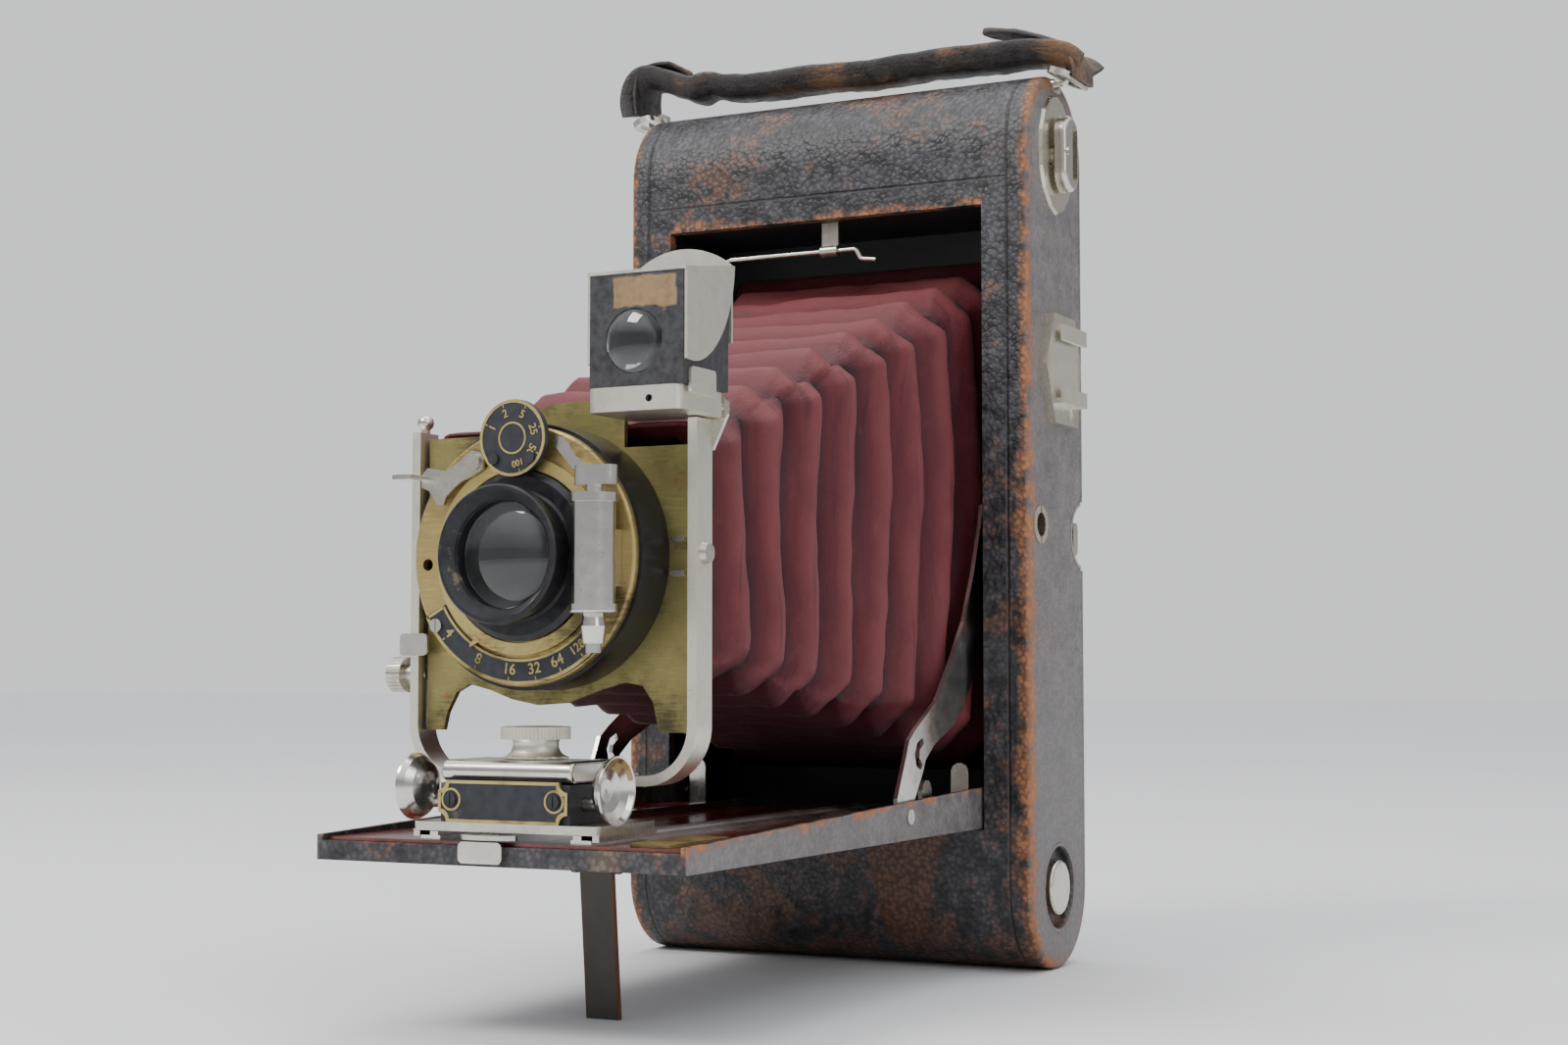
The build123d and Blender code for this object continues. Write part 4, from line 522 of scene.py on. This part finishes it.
def join(name, objs):
    """One mesh object from several."""
    bm = bmesh.new()
    mats = []
    for o in objs:
        start = len(bm.faces)
        tmp = o.data.copy()
        tmp.transform(o.matrix_world)
        idx = []
        for m in tmp.materials:
            if m not in mats:
                mats.append(m)
            idx.append(mats.index(m))
        bm.from_mesh(tmp)
        bm.faces.ensure_lookup_table()
        for f in bm.faces[start:]:
            f.material_index = idx[f.material_index] if idx else 0
        bpy.data.meshes.remove(tmp)
    me = bpy.data.meshes.new(name)
    bm.to_mesh(me)
    bm.free()
    for m in mats:
        me.materials.append(m)
    for o in objs:
        bpy.data.objects.remove(o)
    return link(bpy.data.objects.new(name, me))


def prism(name, outline, y0, y1, mat, holes=()):
    """A plate whose outline is in the X-Z plane, between the depths y0 (front) and y1."""
    bm = bmesh.new()
    loops = []
    for ring in [outline, *holes]:
        vs = [bm.verts.new(P(x, y0, z)) for x, z in ring]
        es = [bm.edges.new((vs[i], vs[(i + 1) % len(vs)])) for i in range(len(vs))]
        loops.append(es)
    bmesh.ops.triangle_fill(bm, use_beauty=True, use_dissolve=False, edges=[e for es in loops for e in es], normal=(0, -1, 0))
    ret = bmesh.ops.extrude_face_region(bm, geom=bm.faces[:])
    d = (y1 - y0) / 1000
    for v in [g for g in ret["geom"] if isinstance(g, bmesh.types.BMVert)]:
        v.co.y += d
    bmesh.ops.recalc_face_normals(bm, faces=bm.faces[:])
    me = bpy.data.meshes.new(name)
    bm.to_mesh(me)
    bm.free()
    me.materials.append(mat)
    return link(bpy.data.objects.new(name, me))


def arc_pts(cx, cz, r, a0, a1, n):
    return [(cx + r * math.cos(math.radians(a0 + (a1 - a0) * i / n)), cz + r * math.sin(math.radians(a0 + (a1 - a0) * i / n))) for i in range(n + 1)]


def bevel(o, w=0.2, seg=2, ang=35):
    m = o.modifiers.new("edge", 'BEVEL')
    m.width = w / 1000
    m.segments = seg
    m.limit_method = 'ANGLE'
    m.angle_limit = math.radians(ang)
    m.harden_normals = False
    return o


def shade(o, ang=38):
    """Smooth faces, sharp where they turn by more than ang."""
    me = o.data
    bm = bmesh.new()
    bm.from_mesh(me)
    for f in bm.faces:
        f.smooth = True
    for e in bm.edges:
        if len(e.link_faces) == 2:
            e.smooth = e.calc_face_angle(3.2) < math.radians(ang)
    bm.to_mesh(me)
    bm.free()
    return o


def lathe(name, prof, centre, axis, mat, n=64):
    """A turned piece; prof is (distance along the axis, radius) in mm, axis one of 'x','y','z' with a sign."""
    sgn = -1 if axis[0] == '-' else 1
    ax = axis[-1]
    verts, faces = [], []
    for u, r in prof:
        for k in range(n):
            a = 2 * math.pi * k / n
            c, s = r * math.cos(a), r * math.sin(a)
            if ax == 'x':
                p = (centre[0] + sgn * u, centre[1] + c, centre[2] + s)
            elif ax == 'y':
                p = (centre[0] + c, centre[1] + sgn * u, centre[2] + s)
            else:
                p = (centre[0] + c, centre[1] + s, centre[2] + sgn * u)
            verts.append(P(*p))
    m = len(prof)
    for i in range(m - 1):
        for k in range(n):
            a, b = i * n + k, i * n + (k + 1) % n
            faces.append((a, b, b + n, a + n))
    faces.append(tuple(range(n)))
    faces.append(tuple(reversed(range((m - 1) * n, m * n))))
    o = mesh_obj(name, verts, faces, mat)
    bm = bmesh.new()
    bm.from_mesh(o.data)
    bmesh.ops.remove_doubles(bm, verts=bm.verts, dist=1e-7)
    bmesh.ops.recalc_face_normals(bm, faces=bm.faces[:])
    bm.to_mesh(o.data)
    bm.free()
    return shade(o)


# ---------------------------------------------------------------- bellows
BF, BR = -153.6, 13.7            # front and rear planes of the bellows
BL = BR - BF
NP = 10                          # pleats


def bellows_shape():
    rnd = random.Random(7)
    rows = 330
    nside = 56
    per = 4 * nside
    jit = [rnd.uniform(-1, 1) for _ in range(NP + 3)]
    amp = [rnd.uniform(0.8, 1.12) for _ in range(NP + 3)]

    def wrap(s):
        """0 at a valley, 1 at a ridge, and the number of the pleat."""
        k = int(math.floor(s))
        f = s - k
        tri = 1 - abs(2 * f - 1)
        return tri, k

    verts, fold = [], []
    for j in range(rows + 1):
        t = j / rows
        yb = BF + t * BL
        hw = 33.0 + 11.0 * t
        z0, z1 = 79.5 - 27.0 * t, 132.5 + 61.0 * t
        zc, hh = (z0 + z1) / 2, (z1 - z0) / 2
        end = min(1.0, t / 0.035, (1 - t) / 0.035)
        for i in range(per):
            side, u = divmod(i, nside)
            u = u / nside * 2 - 1
            # the four panels: 0 bottom, 1 right (+X), 2 top, 3 left
            tall = 1.0 if side in (1, 3) else 0.0
            # position along the bellows, bowed on the tall panels
            bow = 0.0
            if tall:
                uu = u if side == 1 else -u            # -1 at the bottom, +1 at the top
                bow = (0.16 + 0.42 * t) * (1 - uu * uu) * (-1.0) + 0.10 * math.sin(3.1 * uu + 5 * t)
            w = noise.noise(Vector((side * 3.7, u * 1.3, t * 7.0))) * 0.10
            s = t * NP + 0.5 + (bow + w) * (1 if 0.02 < t < 0.98 else 0)
            tri, k = wrap(s)
            k = max(0, min(NP + 1, k))
            # folds are rounded at the ridges and tight at the valleys
            f = tri
            f = f * f * (3 - 2 * f) * 0.55 + (1 - (1 - f) ** 1.7) * 0.45
            depth = (5.4 + 1.4 * t) * amp[k]
            d = (1 - f) * depth * end
            # chamfer of the corners: wide at the ridges, none at the valleys
            ch = (1.6 + 7.4 * f) * end + 1.5 * (1 - end)
            # point on the rectangle, with the corner cut
            aw, ah = hw - d, hh - d
            if side == 0:
                px, pz = u * aw, -ah
            elif side == 1:
                px, pz = aw, u * ah
            elif side == 2:
                px, pz = -u * aw, ah
            else:
                px, pz = -aw, -u * ah
            ex, ez = aw - abs(px), ah - abs(pz)
            cut = ch - (ex + ez)
            if cut > 0:
                px -= math.copysign(cut / 2, px)
                pz -= math.copysign(cut / 2, pz)
            # slack leather
            q = Vector((px * 0.045, yb * 0.03, pz * 0.045))
            sl = noise.noise(q * 1.0 + Vector((3, 1, 2))) * 0.8 + noise.noise(q * 3.1) * 0.45
            crease = noise.noise(Vector((px * 0.02, yb * 0.16, pz * 0.02 + side * 5))) * 0.55 * tall
            n = Vector((0, 0, 0))
            if tall:
                n.x = math.copysign(1, px)
            else:
                n.z = math.copysign(1, pz)
            m = min(1.0, min(ex + 2, ez + 2) / 4) * end
            # the middle of a long panel hangs inwards a little
            belly = (1 - u * u) * (-1.0 if tall else -0.6) * end * (0.4 + t)
            off = (sl + crease + belly) * end
            px += n.x * off
            pz += n.z * off
            lim = hw + 0.3
            px = max(-lim, min(lim, px))
            verts.append(P(px, yb, zc + pz))
            fold.append(max(0.0, min(1.0, f * end + (1 - end) * 0.5)))
    faces = []
    for j in range(rows):
        for i in range(per):
            a, b = j * per + i, j * per + (i + 1) % per
            faces.append((a, b, b + per, a + per))
    o = mesh_obj("pleated_bellows", verts, faces, M['bellows'])
    at = o.data.attributes.new("fold", 'FLOAT', 'POINT')
    for k, v in enumerate(fold):
        at.data[k].value = v
    # closed by an inner skin
    sk = o.modifiers.new("skin", 'SOLIDIFY')
    sk.thickness = 0.0009
    sk.offset = -1
    bpy.context.view_layer.update()
    dg = bpy.context.evaluated_depsgraph_get()
    me = bpy.data.meshes.new_from_object(o.evaluated_get(dg))
    o.modifiers.clear()
    o.data = me
    return o


bel = bellows_shape()
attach(bel, "case")
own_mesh(bel)
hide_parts("bellows")


# ---------------------------------------------------------------- strap
def spline_pts(ctrl, n):
    """Catmull-Rom through control points, n samples."""
    out = []
    c = [ctrl[0], *ctrl, ctrl[-1]]
    m = len(ctrl) - 1
    for j in range(n + 1):
        s = j / n * m
        k = min(int(s), m - 1)
        f = s - k
        p0, p1, p2, p3 = (Vector(c[k]), Vector(c[k + 1]), Vector(c[k + 2]), Vector(c[k + 3]))
        out.append(0.5 * ((2 * p1) + (-p0 + p2) * f + (2 * p0 - 5 * p1 + 4 * p2 - p3) * f * f + (-p0 + 3 * p1 - 3 * p2 + p3) * f ** 3))
    return out


def ribbon(name, ctrl, width, thick, mat, n=150, wave=0.5, y0=0.0, seed=0.0, cup=0.0):
    """A leather band whose line lies in the X-Z plane; width is a function of the share of its length."""
    line = spline_pts([(a, 0, b) for a, b in ctrl], n)
    prof = 22
    verts, faces = [], []
    for j, c in enumerate(line):
        a, b = line[max(0, j - 1)], line[min(n, j + 1)]
        tan = (b - a).normalized()
        nor = Vector((-tan.z, 0, tan.x))
        w = width(j / n) / 2
        th = thick / 2
        for k in range(prof):
            ang = 2 * math.pi * k / prof
            ca, sa = math.cos(ang), math.sin(ang)
            e = 5.0
            yy = math.copysign(abs(ca) ** (2 / e), ca) * w
            nn = math.copysign(abs(sa) ** (2 / e), sa) * th
            q = Vector((c.x * 0.06, yy * 0.10 + seed, c.z * 0.06))
            off = noise.noise(q) * wave * 1.6 + noise.noise(q * 3.3) * wave * 0.5 + cup * (yy / max(w, 0.01)) ** 2
            edge = 1 + 0.05 * noise.noise(Vector((c.x * 0.15 + seed, 2.0, 5.0)))
            p = c + nor * (nn * (1 + 0.25 * noise.noise(q * 5)) + off)
            verts.append(P(p.x, y0 + yy * edge, p.z))
    for j in range(n):
        for k in range(prof):
            a, b = j * prof + k, j * prof + (k + 1) % prof
            faces.append((a, b, b + prof, a + prof))
    faces.append(tuple(range(prof)))
    faces.append(tuple(reversed(range(n * prof, (n + 1) * prof))))
    o = mesh_obj(name, verts, faces, mat)
    bm = bmesh.new()
    bm.from_mesh(o.data)
    bmesh.ops.recalc_face_normals(bm, faces=bm.faces[:])
    bm.to_mesh(o.data)
    bm.free()
    return o


band = ribbon("strap_band", [(-66.0, 243.6), (-66.8, 248.0), (-64.6, 251.6), (-58.0, 249.6), (-50.0, 246.6), (-44, 247.2), (-38.0, 245.8), (-23.5, 245.0),
                             (-8, 245.4), (9.0, 244.8), (28, 245.2), (44.0, 245.0), (56.0, 244.8), (65.0, 243.0), (68.2, 240.4)],
              lambda t: 17.0 - 1.5 * math.sin(math.pi * t), 2.4, M['strap'], n=220, wave=0.35, cup=5.2)
flap = ribbon("strap_flap", [(69.2, 239.0), (69.0, 243.2), (66.0, 247.8), (58.0, 251.6), (48.0, 254.6), (40.0, 256.6)],
              lambda t: 14.5 if t < 0.72 else 14.5 - 13.0 * ((t - 0.72) / 0.28) ** 1.5, 1.7, M['strap'], n=90, wave=0.35, seed=9.0, cup=0.5)
tab = ribbon("strap_tab", [(-67.2, 243.4), (-67.8, 250.0), (-66.6, 255.6), (-62.0, 257.6), (-56.5, 257.4)],
             lambda t: 15.5, 1.4, M['strap'], n=60, wave=0.3, seed=2.0)
strap = join("leather_strap", [band, flap, tab])
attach(strap, "case")
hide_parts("strap")


# ---------------------------------------------------------------- numbers and lines
def text_obj(name, s, size, at, ang, mat, depth=0.06):
    """Flat figures that face -Y, turned by ang degrees, centred at the point."""
    cu = bpy.data.curves.new(name, 'FONT')
    cu.body = s
    cu.size = size / 1000
    cu.align_x, cu.align_y = 'CENTER', 'CENTER'
    cu.extrude = depth / 1000
    cu.offset = 0.00004
    cu.materials.append(mat)
    o = link(bpy.data.objects.new(name, cu))
    o.rotation_euler = (math.radians(90), math.radians(-ang), 0)
    o.location = P(*at)
    bpy.context.view_layer.update()
    mw = o.matrix_world.copy()
    o = to_mesh(o)
    o.data.transform(mw)
    o.matrix_world = Matrix()
    return o


def arc_band(name, cx, cz, r0, r1, a0, a1, y0, y1, mat, n=60):
    out = arc_pts(cx, cz, r1, a0, a1, n) + list(reversed(arc_pts(cx, cz, r0, a0, a1, n)))
    return prism(name, out, y0, y1, mat)


def ring(name, cx, cz, r0, r1, y0, y1, mat, n=96):
    return prism(name, arc_pts(cx, cz, r1, 0, 360, n)[:-1], y0, y1, mat, holes=[arc_pts(cx, cz, r0, 0, 360, n)[:-1]])


def tick(name, cx, cz, r0, r1, a, w, y0, y1, mat):
    a = math.radians(a)
    c, s = math.cos(a), math.sin(a)
    h = w / 2
    return prism(name, [(cx + r0 * c - h * s, cz + r0 * s + h * c), (cx + r1 * c - h * s, cz + r1 * s + h * c),
                        (cx + r1 * c + h * s, cz + r1 * s - h * c), (cx + r0 * c + h * s, cz + r0 * s - h * c)], y0, y1, mat)


LZ = 104.0
parts = [arc_band("t", 0, LZ, 27.0, 27.75, 208.2, 315.4, -170.74, -170.60, M['brass_line']),
         arc_band("t", 0, LZ, 22.25, 22.8, 208.2, 315.4, -170.74, -170.60, M['brass_line'])]
for a in (208.6, 315.0):
    parts.append(tick("t", 0, LZ, 22.5, 27.5, a, 0.6, -170.74, -170.60, M['brass_line']))
APERTURES = [("4", 222.0), ("8", 244.5), ("16", 264.0), ("32", 279.0), ("64", 293.0), ("128", 306.5)]
for s, a in APERTURES:
    r = 24.55
    c, z = r * math.cos(math.radians(a)), LZ + r * math.sin(math.radians(a))
    parts.append(text_obj("t", s, 3.3 if len(s) < 3 else 2.7, (c, -170.70, z), a + 90, M['brass_line']))
    parts.append(tick("t", 0, LZ, 26.2, 27.2, a, 0.3, -170.74, -170.60, M['brass_line']))
fig = join("aperture_figures", parts)
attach(fig, "lens_panel")

DZ = 129.3
parts = [ring("t", 0, DZ, 7.65, 8.3, -174.22, -174.05, M['brass_line']), ring("t", 0, DZ, 3.1, 3.5, -174.22, -174.05, M['brass_line'])]
for k, s in enumerate(("1", "2", "5", "25", "50", "100")):
    a = 155 - k * 46
    parts.append(text_obj("t", s, 2.5 if len(s) < 3 else 2.0, (5.55 * math.cos(math.radians(a)), -174.16, DZ + 5.55 * math.sin(math.radians(a))), a - 90, M['brass_line']))
    parts.append(tick("t", 0, DZ, 7.0, 7.7, a, 0.25, -174.2, -174.05, M['brass_line']))
fig = join("speed_figures", parts)
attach(fig, "speed_control")

# name plate: brass edge and screw rings on the dark field, left bare
def ticket(hw, hh, r):
    out = []
    for sx, sz, a0 in ((1, 1, 270), (-1, 1, 0), (-1, -1, 90), (1, -1, 180)):
        cx, cz = sx * hw, sz * hh
        seg = [(cx + r * math.cos(math.radians(a)), 51.4 + cz + r * math.sin(math.radians(a))) for a in
               ([270 - 90 * k / 8 for k in range(9)] if (sx, sz) == (1, 1) else
                [0 - 90 * k / 8 for k in range(9)] if (sx, sz) == (-1, 1) else
                [90 - 90 * k / 8 for k in range(9)] if (sx, sz) == (-1, -1) else
                [180 - 90 * k / 8 for k in range(9)])]
        out += seg
    return out


border = prism("t", ticket(16.3, 4.5, 2.1), -177.18, -177.04, M['brass_line'], holes=[ticket(15.6, 3.8, 2.1)])
rings_ = [ring("t", xx, 51.8, 2.0, 2.45, -177.16, -177.04, M['brass_line'], 48) for xx in (-13.0, 13.0)]
plate = join("plate_border", [border, *rings_])
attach(plate, "carriage")

# ---------------------------------------------------------------- materials on the CAD nodes
NODE_MAT = {
    'case_body': 'case', 'back_cover': 'case', 'pin_cups': 'case', 'bed_panel': 'bed', 'bed_inlay': 'wood', 'film_gate': 'black_in',
    'red_window': 'rubber_red', 'lens_elements': 'glass', 'finder_optics': 'glass',
    'supply_spool': 'spool', 'take_up_spool': 'spool',
    'bed_leg': 'steel', 'leg_bracket': 'steel', 'hinge_pins': 'steel',
    'carriage_block': 'black', 'name_plate': 'black_field', 'aperture_scale': 'black_field', 'speed_dial': 'black_field',
    'lens_board': 'brass', 'shutter_face': 'brass_face', 'shutter_case': 'black_barrel', 'lens_cells': 'black_barrel',
    'aperture_ring': 'brass_line', 'focus_scale': 'brass_face',
    'upper_blade': 'black_in', 'lower_blade': 'black_in',
    'finder_body': 'finder', 'finder_frame': 'nickel_cream', 'u_frame': 'nickel_cream', 'frame_fittings': 'nickel',
    'winding_plate': 'nickel_brown', 'winding_key': 'nickel', 'shoe_plate': 'nickel_brown', 'accessory_shoe': 'nickel_cream',
    'bulb_cylinder': 'nickel_bright', 'bulb_piston': 'nickel_bright', 'top_bar': 'nickel_bright', 'left_grip': 'nickel_bright',
    'right_grip': 'nickel_bright', 'side_struts': 'nickel_bright', 'clamp_knob': 'nickel_cream', 'bed_rails': 'nickel_bright',
    'tripod_bush': 'nickel_brown',
}
# finder front: black with a worn brown patch above the lens
t = NT("finder_black")
x, y, z = mmxyz(t)
n1, n2 = t.noise(120, 6, 0.65), t.noise(600, 5, 0.6)
c = t.mix(t.range(n2, 0.35, 0.7), (0.016, 0.016, 0.018), (0.05, 0.05, 0.055))
dx = t.math('ABSOLUTE', t.math('SUBTRACT', x, 31.5))
dz = t.math('ABSOLUTE', t.math('SUBTRACT', z, 159.2))
dd = t.math('SUBTRACT', t.math('MAXIMUM', t.math('SUBTRACT', dx, 7.4), t.math('SUBTRACT', dz, 3.0)), t.math('MULTIPLY', t.math('SUBTRACT', n1, 0.5), 3.2))
pt = t.math('MULTIPLY', t.range(dd, 0.35, -0.1), t.range(y, -171.6, -171.9))
c = t.mix(t.math('MULTIPLY', pt, 0.92), c, t.mix(n2, (0.16, 0.09, 0.04), (0.40, 0.26, 0.13)))
c = t.mix(t.math('MULTIPLY', t.range(n1, 0.66, 0.70), 0.7), c, (0.20, 0.14, 0.08))
t.set(Base_Color=c, Roughness=t.range(n2, 0.3, 0.7, 0.42, 0.7))
t.put(t.b.inputs["Normal"], t.bump(t.math('ADD', n2, t.math('MULTIPLY', pt, -0.8)), 0.3, 0.00012))
M['finder'] = t.m

for name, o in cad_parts.items():
    mat = M[NODE_MAT.get(name, 'nickel')]
    if not o.material_slots:
        o.data.materials.append(mat)
    for s in o.material_slots:
        s.material = mat
    if mat in (M['case'], M['bed'], M['glass'], M['wood']):
        continue
    bevel(o, 0.16 if name not in ('upper_blade', 'lower_blade', 'lens_screws', 'film_gate') else 0.05)

# ---------------------------------------------------------------- floor and light
fl = NT("floor_paper")
n = fl.noise(3.0, 4, 0.5)
fl.set(Base_Color=fl.mix(n, (0.72, 0.725, 0.735), (0.78, 0.785, 0.79)), Roughness=0.8)
fl.b.inputs["Specular IOR Level"].default_value = 0.1
R = 6.0
floor = mesh_obj("floor", [(-R, -R, 0), (R, -R, 0), (R, R, 0), (-R, R, 0)], [(0, 1, 2, 3)], fl.m, smooth=False)

w = bpy.data.worlds.new("studio")
bpy.context.scene.world = w
w.use_nodes = True
wt = w.node_tree
wt.nodes.clear()
wo = wt.nodes.new("ShaderNodeOutputWorld")
bg = wt.nodes.new("ShaderNodeBackground")
wt.links.new(bg.outputs[0], wo.inputs[0])
tc = wt.nodes.new("ShaderNodeTexCoord")
sp = wt.nodes.new("ShaderNodeSeparateXYZ")
wt.links.new(tc.outputs["Generated"], sp.inputs[0])
cr = wt.nodes.new("ShaderNodeValToRGB")
wt.links.new(sp.outputs[2], cr.inputs[0])
e = cr.color_ramp.elements
e[0].position, e[0].color = 0.0, (0.42, 0.42, 0.43, 1)
e[1].position, e[1].color = 1.0, (1.45, 1.47, 1.52, 1)
e.new(0.30).color = (0.30, 0.30, 0.31, 1)
e.new(0.55).color = (0.95, 0.96, 0.98, 1)
# the backdrop itself is an even pale grey
lp = wt.nodes.new("ShaderNodeLightPath")
mx = wt.nodes.new("ShaderNodeMix")
mx.data_type = 'RGBA'
mx.inputs[7].default_value = (0.80, 0.81, 0.825, 1)
wt.links.new(lp.outputs["Is Camera Ray"], mx.inputs[0])
wt.links.new(cr.outputs[0], mx.inputs[6])
wt.links.new(mx.outputs[2], bg.inputs[0])
bg.inputs[1].default_value = 1.15


def area(name, loc, to, size, power, color=(1, 1, 1), size_y=None):
    ld = bpy.data.lights.new(name, 'AREA')
    ld.shape = 'RECTANGLE'
    ld.size, ld.size_y = size, size_y or size
    ld.energy = power
    ld.color = color
    o = link(bpy.data.objects.new(name, ld))
    o.location = loc
    o.rotation_euler = (Vector(to) - Vector(loc)).to_track_quat('-Z', 'Y').to_euler()
    return o


area("key_light", (-0.55, -0.85, 1.15), (0, 0, 0.12), 0.55, 12.0, (1.0, 0.985, 0.96), 0.40)
area("fill_light", (1.05, -0.55, 0.75), (0, 0, 0.12), 0.5, 3.2, (0.96, 0.98, 1.0), 0.9)
area("top_light", (0.0, 0.15, 1.3), (0, 0, 0.15), 0.7, 4.0)
